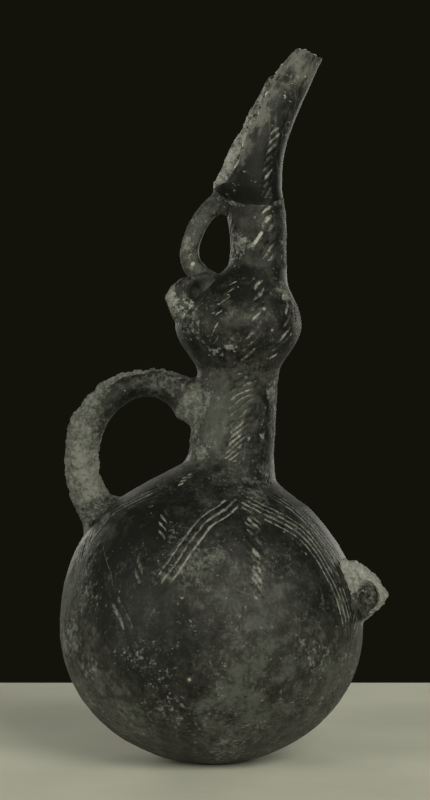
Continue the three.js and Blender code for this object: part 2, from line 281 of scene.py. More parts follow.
def capped(points: Array, rows: int) -> Skin:
    """Closes rings of points, the last two points being the poles of the first and the last ring.

    Args:
        points: the rings, one after another, and the two poles.
        rows: how many rings there are.

    Returns:
        The closed skin, facing outwards.
    """
    grid = round_grid(rows, (len(points) - 2) // rows)
    triangles = np.vstack([fan(grid[0][::-1], len(points) - 2), fan(grid[-1], len(points) - 1)])
    return Skin(points, grid_quads(grid), triangles).faced_outwards()


def hooped(points: Array, rows: int) -> Skin:
    """Closes rings of points into a hoop, the last ring joined to the first, facing outwards."""
    grid = round_grid(rows, len(points) // rows)
    return Skin(points, grid_quads(np.vstack([grid, grid[:1]]))).faced_outwards()


# The jug's form


@dataclass
class JugForm:
    """The outside of the jug as one turned form on a leaning axis.

    A point at azimuth a and height z lies at x = axis(z) + r(z) sin a, y = -flat(z) r(z) cos a. The radius
    r(z) follows two half-ellipses for the body, a smooth curve through stations for the neck, given as radius
    and height, and a smooth curve for the beak, given as height and half-width. The lean is given as height
    and x of the axis.
    """

    body_radius: float = 89.2
    widest_height: float = 77.6
    bowl_semi_height: float = 79.5
    dome_semi_height: float = 96.0
    dome_end_height: float = 150.0
    base_wall: float = 7.0
    rim_wall: float = 4.7
    neck_top: float = 327.0
    beak_top: float = 420.0
    beak_top_flattening: float = 0.68
    neck: tuple[Station, ...] = (
        (40.8, 161.8), (34.8, 167), (29.7, 172), (26.9, 175), (25.6, 178), (24.7, 184), (24.3, 205),
        (23.7, 225), (25.3, 233), (34.2, 246.8), (36.9, 256.6), (33.6, 266), (24.1, 280), (17.6, 290.5),
        (16.6, 300), (17.3, 314), (17.8, 327),
    )
    lean: tuple[Station, ...] = (
        (0, 0), (84, 0), (126, -1.8), (150, -2.2), (158, -1.3), (164.5, 0.8), (168, 3.7), (172, 7.3),
        (175, 9.9), (178, 11), (187, 12.1), (213, 13.8), (233, 16), (256, 15.8), (270, 18.4), (280, 21),
        (293, 27.4), (306, 27.9), (327, 25.7), (338, 21), (346, 20.2), (360, 22.3), (374, 27.9),
        (400, 42.1), (420, 54.8),
    )
    beak: tuple[Station, ...] = (
        (327, 16.7), (338, 20.9), (346, 21.7), (360, 21.3), (374, 19.9), (400, 17.1), (420, 13.7),
    )
    arc_samples: int = 400
    span_samples: int = 40
    outline_reach: float = 0.4
    height_reach: float = 0.5

    def __post_init__(self) -> None:
        """Samples the outline from the edge of the flat base to the top of the neck."""
        base_angle = np.arcsin(-self.widest_height / self.bowl_semi_height)
        dome_angle = np.arcsin((self.dome_end_height - self.widest_height) / self.dome_semi_height)
        bowl = self._arc(np.linspace(base_angle, 0, self.arc_samples), self.bowl_semi_height)
        dome = self._arc(np.linspace(0, dome_angle, self.arc_samples)[1:], self.dome_semi_height)
        neck = through_points(np.vstack([dome[-1:], np.array(self.neck)]), self.span_samples)
        self.outline = np.vstack([bowl, dome, neck[1:]])
        self.outline_length = running_length(self.outline)
        self.axis = SmoothCurve(self.lean)
        self.beak_width = SmoothCurve(self.beak)

    def _arc(self, angle: Array, semi_height: float) -> Array:
        """Radius and height on a half-ellipse about the widest level."""
        height = self.widest_height + semi_height * np.sin(angle)
        return np.stack([self.body_radius * np.cos(angle), height], axis=1)

    def length_at(self, height: float) -> float:
        """Distance along the outline at which it reaches a height."""
        return float(np.interp(height, self.outline[:, 1], self.outline_length))

    def _along(self, length: Array) -> Array:
        """Radius and height at distances along the outline."""
        return np.stack([np.interp(length, self.outline_length, column) for column in self.outline.T])

    def outline_at(self, length: Array) -> tuple[Array, Array, Array, Array]:
        """Follows the outline.

        Args:
            length: distances along it.

        Returns:
            Radius, height, and the outward direction's share along the radius and along the height.
        """
        radius, height = self._along(length)
        run, rise = self._along(length + self.outline_reach) - self._along(length - self.outline_reach)
        size = np.hypot(run, rise)
        return radius, height, rise / size, -run / size

    def wall(self, height: Array) -> Array:
        """Thickness of the wall, thinning steadily from the base to the rim."""
        share = np.clip(height / self.neck_top, 0, 1)
        return self.base_wall + (self.rim_wall - self.base_wall) * share

    def flattening(self, height: Array) -> Array:
        """Depth over width of a level section: round to the neck's top, then flatter up to the beak's tip."""
        share = np.clip((height - self.neck_top) / (self.beak_top - self.neck_top), 0, 1)
        return 1 + (self.beak_top_flattening - 1) * share

    def radius(self, height: Array) -> Array:
        """Outer half-width at a height, on the wall or above it on the beak."""
        wall = np.interp(height, self.outline[:, 1], self.outline[:, 0])
        return np.where(height <= self.neck_top, wall, self.beak_width(height))

    def turned(self, radius: Array, azimuth: Array, height: Array) -> Array:
        """Points at a radius from the leaning axis, with the three coordinates in the last place.

        Args:
            radius: distance from the axis before flattening.
            azimuth: degrees round the jug.
            height: their heights.

        Returns:
            The points.
        """
        angle = np.radians(azimuth)
        across = self.axis(height) + radius * np.sin(angle)
        depth = -self.flattening(height) * radius * np.cos(angle)
        return np.stack(np.broadcast_arrays(across, depth, height), axis=-1)

    def on_wall(self, azimuth: Array | float, height: Array | float) -> Array:
        """Points on the outside of the jug at an azimuth and height."""
        azimuth, height = np.broadcast_arrays(np.asarray(azimuth, float), np.asarray(height, float))
        return self.turned(self.radius(height), azimuth, height)

    def wall_gap(self, points: Array) -> tuple[Array, Array]:
        """Measures points against the outside of the jug.

        The level gap is the distance from the axis less the half-width. Its slopes along x, y and z point
        outwards.

        Args:
            points: places near the wall.

        Returns:
            The distance outside the jug at each point, and the outward direction there.
        """
        height = points[:, 2]
        flat = self.flattening(height)
        across = points[:, 0] - self.axis(height)
        depth = points[:, 1] / flat
        away = np.maximum(np.hypot(across, depth), 1e-6)
        above, below = height + self.height_reach, height - self.height_reach
        lean = (self.axis(above) - self.axis(below)) / (2 * self.height_reach)
        widening = (self.radius(above) - self.radius(below)) / (2 * self.height_reach)
        climb = widening + lean * across / away
        slopes = np.stack([across / away, depth / away / flat, -climb], axis=1)
        size = np.linalg.norm(slopes, axis=1, keepdims=True)
        return (away - self.radius(height)) / size[:, 0], slopes / size

    def wall_normal(self, points: Array) -> Array:
        """Outward direction of the wall at each point."""
        return self.wall_gap(points)[1]

    def wall_distance(self, points: Array) -> Array:
        """Distance of each point outside the wall."""
        return self.wall_gap(points)[0]


# The potter's hand and the long burial


class LatticeNoise:
    """Seeded noise in space: random levels on a cubic lattice, blended by a fifth power along each axis."""

    TABLE = 256
    LAYER_SHIFT = 17.3

    def __init__(self, seed: int) -> None:
        """Draws the lattice's order and levels from a seed.

        Args:
            seed: seed of the draws.
        """
        draw = np.random.default_rng(seed)
        self.order = draw.permutation(self.TABLE)
        self.level = draw.uniform(-1.0, 1.0, self.TABLE)

    def at(self, points: Array, size: float, layers: int = 1) -> Array:
        """Adds layers of noise, each half the size and half the strength of the one before.

        Args:
            points: places in millimetres.
            size: spacing of the coarsest lattice.
            layers: how many layers to add.

        Returns:
            One value per point, within about -1 to 1 for the coarsest layer.
        """
        total = np.zeros(len(points))
        for layer in range(layers):
            total += 0.5**layer * self._single(points * 2.0**layer / size + self.LAYER_SHIFT * layer)
        return total

    def _single(self, scaled: Array) -> Array:
        """One layer: the eight lattice levels round each point, weighted by the blend along each axis.

        Args:
            scaled: places in steps of the lattice.

        Returns:
            One value per point.
        """
        cell = np.floor(scaled).astype(np.int64)
        share = scaled - cell
        blend = share**3 * (share * (share * 6 - 15) + 10)
        total = np.zeros(len(scaled))
        for corner in np.ndindex(2, 2, 2):
            key = (cell + np.array(corner)) % self.TABLE
            slot = self.order[(self.order[key[:, 0]] + key[:, 1]) % self.TABLE]
            slot = self.order[(slot + key[:, 2]) % self.TABLE]
            total += np.where(corner, blend, 1 - blend).prod(axis=1) * self.level[slot]
        return total


@dataclass(frozen=True)
class TonePatch:
    """A soft-edged place that is paler or darker than the rest, or more crusted."""

    at: tuple[float, float, float]
    radius: float
    haze: float
    crust: float = 0.0


@dataclass
class HandTouch:
    """Unevenness from hand building, lime crust from burial, and pale or dark clouds, all by place."""

    # Patches on the wall: azimuth, height, radius, haze, and crust if any.
    BODY_PATCHES: ClassVar[tuple[Station, ...]] = (
        # Painted highlight: the first two patches, at (11, 107) and (-8, 101), pale the middle of the belly
        # where a soft sheen falls.
        (11, 107, 26, 0.5), (-8, 101, 20, 0.3), (-10, 26, 36, 0.5, 0.04), (-64, 78, 26, 0.6),
        # The pale patches at (-64, 78) on the line above and (68, 80) below pale the belly towards its left
        # and right edges: partly dust, partly painted rim light.
        (68, 80, 24, 0.6, 0.1), (48, 104, 20, -0.3), (35, 100, 18, 0.2), (-35, 133, 22, -0.9),
        (-43, 155, 15, -0.6), (-36, 111, 16, -0.9), (-32, 92, 14, -0.4), (-38, 62, 14, -0.4),
        (42, 78, 16, -0.5), (78, 142, 16, -1.0), (45, 111, 16, -0.3), (33, 131, 18, -0.4),
        (5, 128, 14, -0.3), (-26, 68, 20, -0.6), (-5, 58, 14, -0.3), (18, 64, 22, 0.2, 0.05),
        (40, 60, 20, 0.15, 0.08), (14, 40, 26, 0.25, 0.06), (-64, 85, 19, 0.15, 0.3),
        (-70, 74, 12, -0.2, 0.18), (-58, 52, 20, 0.15, 0.2), (-80, 105, 14, 0.2, 0.2),
        (-94, 150, 10, 0.2, 0.22), (-88, 128, 9, 0.2, 0.15), (-60, 130, 4, 0.3, 0.35),
        (-58, 116, 4, 0.3, 0.35), (-66, 143, 4, 0.3, 0.4), (-2, 121, 9, -0.4), (74, 58, 18, 0.2, 0.18),
        (72, 34, 24, 0.2, 0.12), (-20, 10, 34, 0.1, 0.12), (40, 8, 30, 0.1, 0.12),
        (20, 165, 12, 0.3, 0.06), (-8, 58, 1.0, 2.8), (170, 8, 36, 0.1, 0.2), (150, 120, 32, -0.35),
        (-150, 90, 30, 0.35, 0.1), (178, 70, 26, 0.2, 0.16),
    )
    NECK_PATCHES: ClassVar[tuple[Station, ...]] = (
        (-30, 206, 16, 0.8), (45, 205, 13, -0.35), (-78, 207, 9, 0.3, 0.75),
        (-60, 198, 7, 0.3, 0.2), (-55, 220, 5.5, 0.2, 0.42), (-52, 210, 4.5, 0.2, 0.36),
        (-42, 182, 3.3, 0.3, 0.85), (-75, 190, 8, 0.2, 0.45), (60, 215, 3, 0.2, 0.5),
        (84, 200, 10, 0.1, 0.3), (75, 222, 8, 0.2, 0.4), (45, 191, 1.6, 0, 0.5), (10, 182, 8, -0.1),
        (48, 183, 8, -0.4), (85, 184, 8, -0.5),
    )
    BULB_PATCHES: ClassVar[tuple[Station, ...]] = (
        (-48, 253, 8, 0.3, 0.28), (-28, 240, 4, 0.2, 0.25), (-8, 243, 3.5, 0.2, 0.25),
        (-62, 262, 9, 0.7, 0.25), (57, 276, 6, 0.2, 0.5), (75, 262, 8, 0.1, 0.45), (2, 262, 14, 0.35),
        (20, 275, 12, -0.3), (30, 243, 12, -0.4), (-12, 277, 8, -0.3), (22.7, 264.7, 0.9, 3),
        (31.7, 252.6, 0.7, 3), (150, 246, 14, 0.1, 0.45), (-42, 305, 5, 0.2, 0.46),
        (-22, 319, 8, 0.4), (-20, 303, 4, 0.1, 0.26), (76, 322, 4, 0.3, 0.5), (78, 308, 4, 0.3, 0.55),
        (76, 294, 4, 0.3, 0.55), (30, 300, 8, -0.3),
        *((-11 + 4 * step, 302.9 + 1.7 * step, 0.8, 3) for step in range(5)),
    )
    BEAK_PATCHES: ClassVar[tuple[Station, ...]] = (
        (-20, 340, 14, -0.7), (10, 338, 12, -0.9), (60, 345, 12, -0.7), (-2, 372, 12, -0.05),
        (8, 392, 12, 0.2), (-25, 413, 8, 2.1), (-10, 405, 4, -0.6), (-2, 364, 8, 0.6),
        (18, 364, 9, -0.1), (58, 406, 6, 0.8, 0.15), (72, 366, 12, -0.7), (76, 386, 10, -0.6),
        (45, 375, 8, -0.2), (12, 399, 4, -0.3), (160, 360, 16, 0.2, 0.3),
    )
    # Patches anywhere else, as on handles and ears: place, radius, haze, and crust if any.
    FREE_PATCHES: ClassVar[tuple[tuple, ...]] = (
        ((-84, -2, 180), 22, 0.2, 0.25), ((-80, -2, 200), 16, 0.2, 0.25), ((-66, 0, 220), 12, 0.2, 0.3),
        ((-47, 2, 231), 6, 0.2, 0.8), ((-30, 2, 232), 5, 0.2, 0.8), ((-46, -9, 214), 9, -0.5, -0.7),
        ((-34, -8, 221), 9, -0.6, -0.8), ((-21, -9, 217), 9, -0.4, -0.6), ((-58, -6, 205), 8, -0.2, -0.5),
        ((-64, -4, 190), 8, -0.1, -0.3), ((-66, -8, 148), 10, -0.2, -0.2), ((-18, -3, 300), 9, 0.8, 0.18),
        # Painted shade: the patch at (-7, 0, 303) on the line below darkens the inner face of the small
        # handle, where it faces the neck.
        ((-9, -4, 318), 7, 0.5, 0.1), ((-7, 0, 303), 5, -0.5, -0.4), ((-11.5, -5.4, 290.2), 0.7, 3),
        # Painted shade: the patch at (14, 9, 361) on the line below darkens the inside of the beak's trough.
        ((-11, -5.5, 292.4), 0.7, 3), ((8, 11, 347), 7, 0.4, 0.3), ((14, 9, 361), 5, -1.6, -0.5),
        ((-28, -16, 277), 4.6, 0.6, 0.72), ((-27, -16, 268), 4.6, 0.6, 0.55),
        # Painted shade: the patches at (82, -30, 97) and (85, -30, 88) on the line below darken the crease
        # where the belly ear meets the wall, and thin its crust.
        ((82, -30, 97), 5, -0.2, -0.5), ((85, -30, 88), 6, -0.3, -0.6), ((-40, -3, 230), 4.5, 0.3, 0.7),
        ((-24, -3, 228), 4, 0.3, 0.7), ((-14, -10, 207), 7, 0.3, 0.5),
    )

    form: JugForm
    swell: float = 0.55
    swell_size: float = 46.0
    knead: float = 0.3
    knead_size: float = 17.0
    knead_shift: float = 31.0
    grain: float = 0.07
    grain_size: float = 5.0
    grain_shift: float = 77.0
    crust_cloud: float = 0.14
    crust_cloud_size: float = 26.0
    haze_cloud: float = 0.25
    haze_cloud_size: float = 40.0
    crust_height: float = 1.35
    crust_growth: float = 1.5
    lump: float = 0.6
    lump_size: float = 2.4
    lump_base: float = 0.2
    flake: float = 0.7
    flake_size: float = 5.5
    flake_shift: float = 50.0
    flake_range: Station = (0.05, 0.35)
    pit_depth: float = 0.12
    pit_size: float = 2.6
    pit_range: Station = (0.6, 0.9)

    def __post_init__(self) -> None:
        """Seeds the noises and sets out the patches."""
        self.shape_noise = LatticeNoise(11)
        self.crust_noise = LatticeNoise(23)
        self.haze_noise = LatticeNoise(5)
        self.pit_noise = LatticeNoise(71)
        on_wall = self.BODY_PATCHES + self.NECK_PATCHES + self.BULB_PATCHES + self.BEAK_PATCHES
        self.patches = [
            TonePatch(tuple(self.form.on_wall(azimuth, height)), *rest) for azimuth, height, *rest in on_wall
        ]
        self.patches += [TonePatch(*patch) for patch in self.FREE_PATCHES]

    def unevenness(self, points: Array) -> Array:
        """Swellings left by hand building, in millimetres, in three sizes.

        Args:
            points: places in millimetres.

        Returns:
            The height at each point.
        """
        swelling = self.swell * self.shape_noise.at(points, self.swell_size)
        kneading = self.knead * self.shape_noise.at(points + self.knead_shift, self.knead_size)
        grain = self.grain * self.shape_noise.at(points + self.grain_shift, self.grain_size, layers=2)
        return swelling + kneading + grain

    def crust(self, points: Array, base: float) -> Array:
        """How thickly lime crust covers each point, from 0 to 1: a base, broken noise and the patches."""
        amount = base + self.crust_cloud * self.crust_noise.at(points, self.crust_cloud_size, layers=3)
        return np.clip(amount + self._patched(points, "crust"), 0, 1)

    def haze(self, points: Array, base: float) -> Array:
        """How pale the burnished clay is at each point: below 0 darker, above 0 paler. Some of the patches
        paint in a highlight or shade, as noted where they are listed.
        """
        cloud = self.haze_cloud * self.haze_noise.at(points, self.haze_cloud_size, layers=2)
        return base + cloud + self._patched(points, "haze")

    def relief(self, points: Array, crust: Array) -> Array:
        """Height of the crust's lumps and flakes less the depth of scattered pits, in millimetres.

        Args:
            points: places in millimetres.
            crust: how thickly crust covers each.

        Returns:
            The height at each point.
        """
        lumps = self.lump * self.crust_noise.at(points, self.lump_size, layers=3) - self.lump_base
        flaking = self.crust_noise.at(points + self.flake_shift, self.flake_size, layers=2)
        flakes = self.flake * smooth_step(*self.flake_range, flaking)
        pits = smooth_step(*self.pit_range, self.pit_noise.at(points, self.pit_size))
        return self.crust_height * crust**self.crust_growth * (lumps + flakes) - self.pit_depth * pits

    def _patched(self, points: Array, quality: str) -> Array:
        """Sum over the patches of one quality, fading with distance as a bell curve.

        Args:
            points: places in millimetres.
            quality: field of the patches.

        Returns:
            The sum at each point.
        """
        total = np.zeros(len(points))
        for patch in self.patches:
            amount = getattr(patch, quality)
            away = ((points - np.array(patch.at)) ** 2).sum(axis=1)
            total += amount * np.exp(-away / (2 * patch.radius**2)) if amount else 0.0
        return total


# Incised ornament


@dataclass(frozen=True)
class Ribbon:
    """A line on the jug, given by stations of azimuth and height, that carries incised strokes."""

    wobble: ClassVar[float] = 0.0
    span_samples: ClassVar[int] = 8
    stations: tuple[Station, ...]

    def rail(self, form: JugForm) -> Array:
        """Points on the outside of the jug along the line."""
        path = through_points(np.array(self.stations, float), self.span_samples)
        return form.on_wall(path[:, 0], path[:, 1])

    def swung(self, azimuth: float) -> "Ribbon":
        """The same ribbon further round the jug."""
        return replace(self, stations=tuple((turn + azimuth, height) for turn, height in self.stations))

    def mirrored(self) -> "Ribbon":
        """The same ribbon on the other side of the plane of the beak."""
        return replace(self, stations=tuple((180 - turn, height) for turn, height in self.stations))


@dataclass(frozen=True)
class LineBand(Ribbon):
    """Long lines drawn side by side along a ribbon."""

    wobble: ClassVar[float] = 0.12
    lines: int = 3
    spacing: float = 4.4
    half_stroke: float = 0.58
    fade: float = 16.0

    def strokes(self, across: Array, along: Array, length: float) -> tuple[Array, Array]:
        """Finds the strokes.

        Args:
            across: distance of each point to the side of the rail.
            along: distance of each point along it.
            length: the rail's whole length.

        Returns:
            For each point the stroke number, place along it and half-width; and how far inside the band.
        """
        number = across / self.spacing + self.lines / 2
        place = np.maximum(1 - np.minimum(along, length - along) / self.fade, 0)
        width = np.full(len(across), self.half_stroke / self.spacing)
        inside = 1 - np.abs(across) / (self.lines * self.spacing / 2)
        return np.stack([number, place, width], axis=1), inside


@dataclass(frozen=True)
class DashColumn(Ribbon):
    """Short slanting dashes set one below another along a ribbon that runs downwards."""

    wobble: ClassVar[float] = 0.32
    half_width: ClassVar[float] = 1.3
    pitch: float = 5.0
    slope: float = 1.0
    half_length: float = 3.5
    half_stroke: float = 0.75
    slant: Slant = Slant.RISING

    def strokes(self, across: Array, along: Array, length: float) -> tuple[Array, Array]:
        """Finds the dashes: lines of equal along plus slope times across, ended at a distance to each side.

        Args:
            across: distance of each point to the right of the rail.
            along: distance of each point down it.
            length: the rail's whole length; not used here.

        Returns:
            For each point the dash number, place along it and half-width; and how far inside the column,
            in half-lengths of a dash.
        """
        number = (along + self.slant.value * self.slope * across) / self.pitch
        place = across / self.half_length
        width = np.full(len(across), self.half_stroke * np.hypot(1, self.slope) / self.pitch)
        return np.stack([number, place, width], axis=1), self.half_width - np.abs(place)


def unrolled(points: Array, normals: Array, rail: Array) -> tuple[Array, Array, Array]:
    """Measures points against a rail: the nearest place on any of its straight steps.

    Args:
        points: places near the rail.
        normals: outward directions there.
        rail: points along the rail.

    Returns:
        Distance to the right of a rail that runs down, distance along it, and whether within its ends.
    """
    step = np.diff(rail, axis=0)
    size = np.linalg.norm(step, axis=1)
    offset = points[:, None] - rail[None, :-1]
    share = np.einsum("nmk,mk->nm", offset, step) / size**2
    held = np.clip(share, 0, 1)
    gap = offset - held[..., None] * step
    nearest = np.linalg.norm(gap, axis=2).argmin(axis=1)
    rows = np.arange(len(points))
    side = np.cross(normals, step[nearest] / size[nearest, None])
    across = (gap[rows, nearest] * side).sum(axis=1)
    along = running_length(rail)[nearest] + held[rows, nearest] * size[nearest]
    at_start = (nearest == 0) & (share[rows, nearest] < 0)
    at_end = (nearest == len(step) - 1) & (share[rows, nearest] > 1)
    return across, along, ~(at_start | at_end)


@dataclass
class Ornament:
    """The incised ornament: zigzags of lines on the body, and dash columns on body, neck, bulb and beak."""

    form: JugForm
    groove_depth: float = 0.22
    groove_edge: Station = (0.5, 1.5)
    wobble_size: float = 10.0
    number_step: float = 75.0
    margin: float = 11.0
    turns: int = 4
    bulb_step: float = 36.0
    bulb_columns: tuple[int, ...] = (0, 1, 3, 5, 7)
    thin_bulb_columns: tuple[int, ...] = (-1, 2, 4, 6)

    def __post_init__(self) -> None:
        """Lists the ribbons and follows each of them over the jug."""
        self.noise = LatticeNoise(37)
        stray = LineBand(((-20.2, 98), (-23.4, 89)), lines=1, half_stroke=0.8, fade=5.0)
        self.ribbons = [*self._zigzag(), *self._body_dashes(), *self._upper_dashes(), stray]
        self.rails = [ribbon.rail(self.form) for ribbon in self.ribbons]

    def _all_round(self, ribbon: Ribbon) -> list[Ribbon]:
        """The same ribbon once in each quarter of the jug."""
        return [ribbon.swung(360 * turn / self.turns) for turn in range(self.turns)]

    def _zigzag(self) -> list[Ribbon]:
        """Legs of the zigzag round the shoulder: those at the front one by one, those behind from one leg.

        Returns:
            The bands of lines.
        """
        left = ((24, 159), (2.5, 146.4), (-4, 139.5), (-9.4, 129.8), (-16.6, 114.5), (-19.6, 106.5))
        right = ((17, 158.5), (35.6, 147.1), (44.8, 141.1), (51.1, 133.6), (56.6, 114.3), (61.8, 77.5))
        far_right = ((51.5, 158.4), (62.9, 141.2), (70.5, 118.4), (72, 94.7), (69.9, 85.2), (64, 76))
        far_left = ((-42.2, 161.4), (-53, 152.9), (-61.6, 144.7), (-64.7, 134))
        worn = ((-56, 130), (-45.1, 116.2), (-40.5, 103))
        below_worn = ((-38.4, 101.5), (-34, 92.5), (-30.5, 83))
        front = [
            LineBand(left),
            LineBand(right, lines=4, spacing=4.0),
            LineBand(far_right),
            LineBand(worn, lines=2, spacing=5.4, half_stroke=0.14),
            LineBand(below_worn, lines=2, spacing=5.4, half_stroke=0.95, fade=9.0),
            LineBand(far_left),
        ]
        leg = ((2, 156), (14, 149.5), (25.7, 139.4), (35, 121), (39, 106), (41.5, 90), (44, 74))
        back = [(110.5, 1), (200.5, -1), (200.5, 1), (290.5, -1)]
        return front + [
            LineBand(tuple((apex + way * turn, height) for turn, height in leg)) for apex, way in back
        ]

    def _body_dashes(self) -> list[Ribbon]:
        """Dash columns under each apex of the zigzag, in each hollow between, and at the neck's foot.

        Returns:
            The columns, each in every quarter.
        """
        under_apex = DashColumn(
            ((24, 147.5), (21.7, 133.8), (19.5, 117.8), (18, 101)),
            pitch=4.7, slope=1.1, half_length=5.3, half_stroke=1.0, slant=Slant.FALLING,
        )
        hollow_top = DashColumn(
            ((-24, 151), (-21.2, 133.5)),
            pitch=5.6, slope=1.3, half_length=3.0, half_stroke=0.6, slant=Slant.FALLING,
        )
        hollow_foot = DashColumn(
            ((-28.2, 127.5), (-28.9, 106)),
            pitch=6.0, slope=1.4, half_length=3.3, half_stroke=0.84, slant=Slant.FALLING,
        )
        neck_foot = DashColumn(
            ((-33, 170.5), (-27.5, 162)), pitch=3.4, slope=0.8, half_length=2.6, half_stroke=0.6
        )
        quarter = (under_apex, hollow_top, hollow_foot, neck_foot)
        return [column for ribbon in quarter for column in self._all_round(ribbon)]

    def _upper_dashes(self) -> list[Ribbon]:
        """Dash columns on the lower neck, the bulb, the upper neck and the beak.

        Returns:
            The columns.
        """
        lower_neck = DashColumn(
            ((12.2, 228), (8, 217), (6.2, 201)), pitch=4.7, slope=0.8, half_length=7.6, half_stroke=0.62
        )
        lower_neck_foot = DashColumn(
            ((6.2, 202), (3.4, 189), (0.6, 176)), pitch=3.7, slope=1.3, half_length=6.4, half_stroke=0.58
        )
        upper_neck = DashColumn(
            ((22, 326.5), (17.3, 316), (15.8, 305.7), (19.6, 293)),
            pitch=6.2, slope=1.15, half_length=5.2, half_stroke=0.85,
        )
        bulb = DashColumn(
            ((14.8, 283), (16.2, 266.4), (13.3, 249), (9, 234)),
            pitch=7.6, slope=1.35, half_length=3.9, half_stroke=0.8,
        )
        thin_bulb = replace(bulb, half_length=2.6, half_stroke=0.33)
        beak = DashColumn(
            ((35.5, 373), (38.4, 362), (38.2, 346.6), (34, 337), (26, 329)),
            pitch=5.4, slope=1.2, half_length=4.0, half_stroke=0.7,
        )
        columns = self._all_round(lower_neck) + self._all_round(upper_neck)
        columns += [thin_bulb.swung(self.bulb_step * column) for column in self.thin_bulb_columns]
        columns += [bulb.swung(self.bulb_step * column) for column in self.bulb_columns]
        columns += [beak, beak.mirrored()]
        return columns + self._all_round(lower_neck_foot)

    def at(self, points: Array, normals: Array, rows: int) -> tuple[Array, Array]:
        """Works out the strokes on a grid of points.

        A stroke runs wherever the first number is a whole number and a half. The second number is the place
        along the stroke, -1 and 1 at its ends, and the third its half-width as a share of the spacing,
        negative if bare.

        Args:
            points: places on the outside, row after row of a grid.
            normals: outward directions there.
            rows: how many rows the grid has.

        Returns:
            The three numbers for each point, and the depth of the groove there in millimetres.
        """
        strokes = np.tile(BARE, (len(points), 1))
        owner = np.full(len(points), -1)
        best = np.zeros(len(points))
        for number, (ribbon, rail) in enumerate(zip(self.ribbons, self.rails)):
            low, high = rail.min(axis=0) - self.margin, rail.max(axis=0) + self.margin
            near = np.flatnonzero(((points > low) & (points < high)).all(axis=1))
            if not len(near):
                continue
            across, along, within = unrolled(points[near], normals[near], rail)
            made, inside = ribbon.strokes(across, along, running_length(rail)[-1])
            wobble = ribbon.wobble * self.noise.at(points[near], self.wobble_size)
            made[:, 0] += wobble + self.number_step * (number + 1)
            wins = within & (inside > best[near])
            strokes[near[wins]] = made[wins]
            owner[near[wins]] = number
            best[near[wins]] = inside[wins]
        strokes[self._borders(owner.reshape(rows, -1)).ravel(), 2] = -1
        off_line = np.abs(strokes[:, 0] % 1 - 0.5)
        half = np.maximum(strokes[:, 2], 1e-3)
        drawn = (np.abs(strokes[:, 1]) < 1) & (strokes[:, 2] > 0)
        return strokes, self.groove_depth * drawn * (1 - smooth_step(*self.groove_edge, off_line / half))

    @staticmethod
    def _borders(owner: Array) -> Array:
        """Marks the points of a grid with a neighbour on any side that belongs to another ribbon.

        Args:
            owner: number of the ribbon at each point.

        Returns:
            True at each such point.
        """
        padded = np.pad(np.pad(owner, ((1, 1), (0, 0)), mode="edge"), ((0, 0), (1, 1)), mode="wrap")
        rows, columns = owner.shape
        border = np.zeros(owner.shape, bool)
        for row, column in np.ndindex(3, 3):
            border |= padded[row : row + rows, column : column + columns] != owner
        return border


# Finishes


class NodeSheet:
    """A node tree being wired: puts down nodes, sets plain values and joins sockets."""

    def __init__(self, tree: bpy.types.NodeTree) -> None:
        """Takes the tree to wire."""
        self.tree = tree

    def put(self, kind: str, **settings: object) -> bpy.types.Node:
        """Adds a node of a kind and sets its properties.

        Args:
            kind: the node's type.
            settings: its properties by name.

        Returns:
            The node.
        """
        node = self.tree.nodes.new(kind)
        for name, value in settings.items():
            setattr(node, name, value)
        return node

    def feed(self, socket: bpy.types.NodeSocket, value: object) -> None:
        """Joins a socket to another or gives it a plain value; a colour gets a full alpha.

        Args:
            socket: the input to feed.
            value: a socket or a plain value.
        """
        if isinstance(value, bpy.types.NodeSocket):
            self.tree.links.new(value, socket)
        elif socket.type == "RGBA":
            socket.default_value = (*value, 1.0)
        else:
            socket.default_value = value

    def fed(self, kind: str, inputs: dict[str | int, object], **settings: object) -> bpy.types.NodeOutputs:
        """Adds a node and feeds its inputs by name or number.

        Args:
            kind: the node's type.
            inputs: sockets or plain values.
            settings: its properties by name.

        Returns:
            The node's outputs.
        """
        node = self.put(kind, **settings)
        for name, value in inputs.items():
            self.feed(node.inputs[name], value)
        return node.outputs

    def read(self, mask: str) -> bpy.types.NodeOutputs:
        """Outputs of one of the piece's masks."""
        return self.put("ShaderNodeAttribute", attribute_name=mask).outputs

    def maths(self, operation: str, first: object, second: object = 0.0) -> bpy.types.NodeSocket:
        """One step of arithmetic on two values."""
        return self.fed("ShaderNodeMath", {0: first, 1: second}, operation=operation)[0]

    def total(self, start: object, *terms: tuple[object, object]) -> bpy.types.NodeSocket:
        """Adds weighted values to a start.

        Args:
            start: what the sum starts from.
            terms: pairs of a value and its weight.

        Returns:
            The sum.
        """
        level = start
        for value, weight in terms:
            level = self.fed("ShaderNodeMath", {0: value, 1: weight, 2: level}, operation="MULTIPLY_ADD")[0]
        return level

    def noise(self, place: object, scale: object, detail: float, roughness: float) -> bpy.types.NodeSocket:
        """Cloudy noise in space, about 0.5 on average."""
        inputs = {"Vector": place, "Scale": scale, "Detail": detail, "Roughness": roughness}
        return self.fed("ShaderNodeTexNoise", inputs)[0]

    def ease(self, value: object, low: object, high: object) -> bpy.types.NodeSocket:
        """Eases from 0 where the value is low to 1 where it is high."""
        inputs = {"Value": value, "From Min": low, "From Max": high}
        return self.fed("ShaderNodeMapRange", inputs, interpolation_type="SMOOTHSTEP")["Result"]

    def spread(self, value: object, low: object, high: object) -> bpy.types.NodeSocket:
        """Spreads a value from 0 to 1 over a range, in a straight line."""
        return self.fed("ShaderNodeMapRange", {"Value": value, "To Min": low, "To Max": high})["Result"]

    def blend(self, share: object, first: object, second: object) -> bpy.types.NodeSocket:
        """Mixes two colours."""
        return self.fed("ShaderNodeMix", {0: share, 6: first, 7: second}, data_type="RGBA")[2]


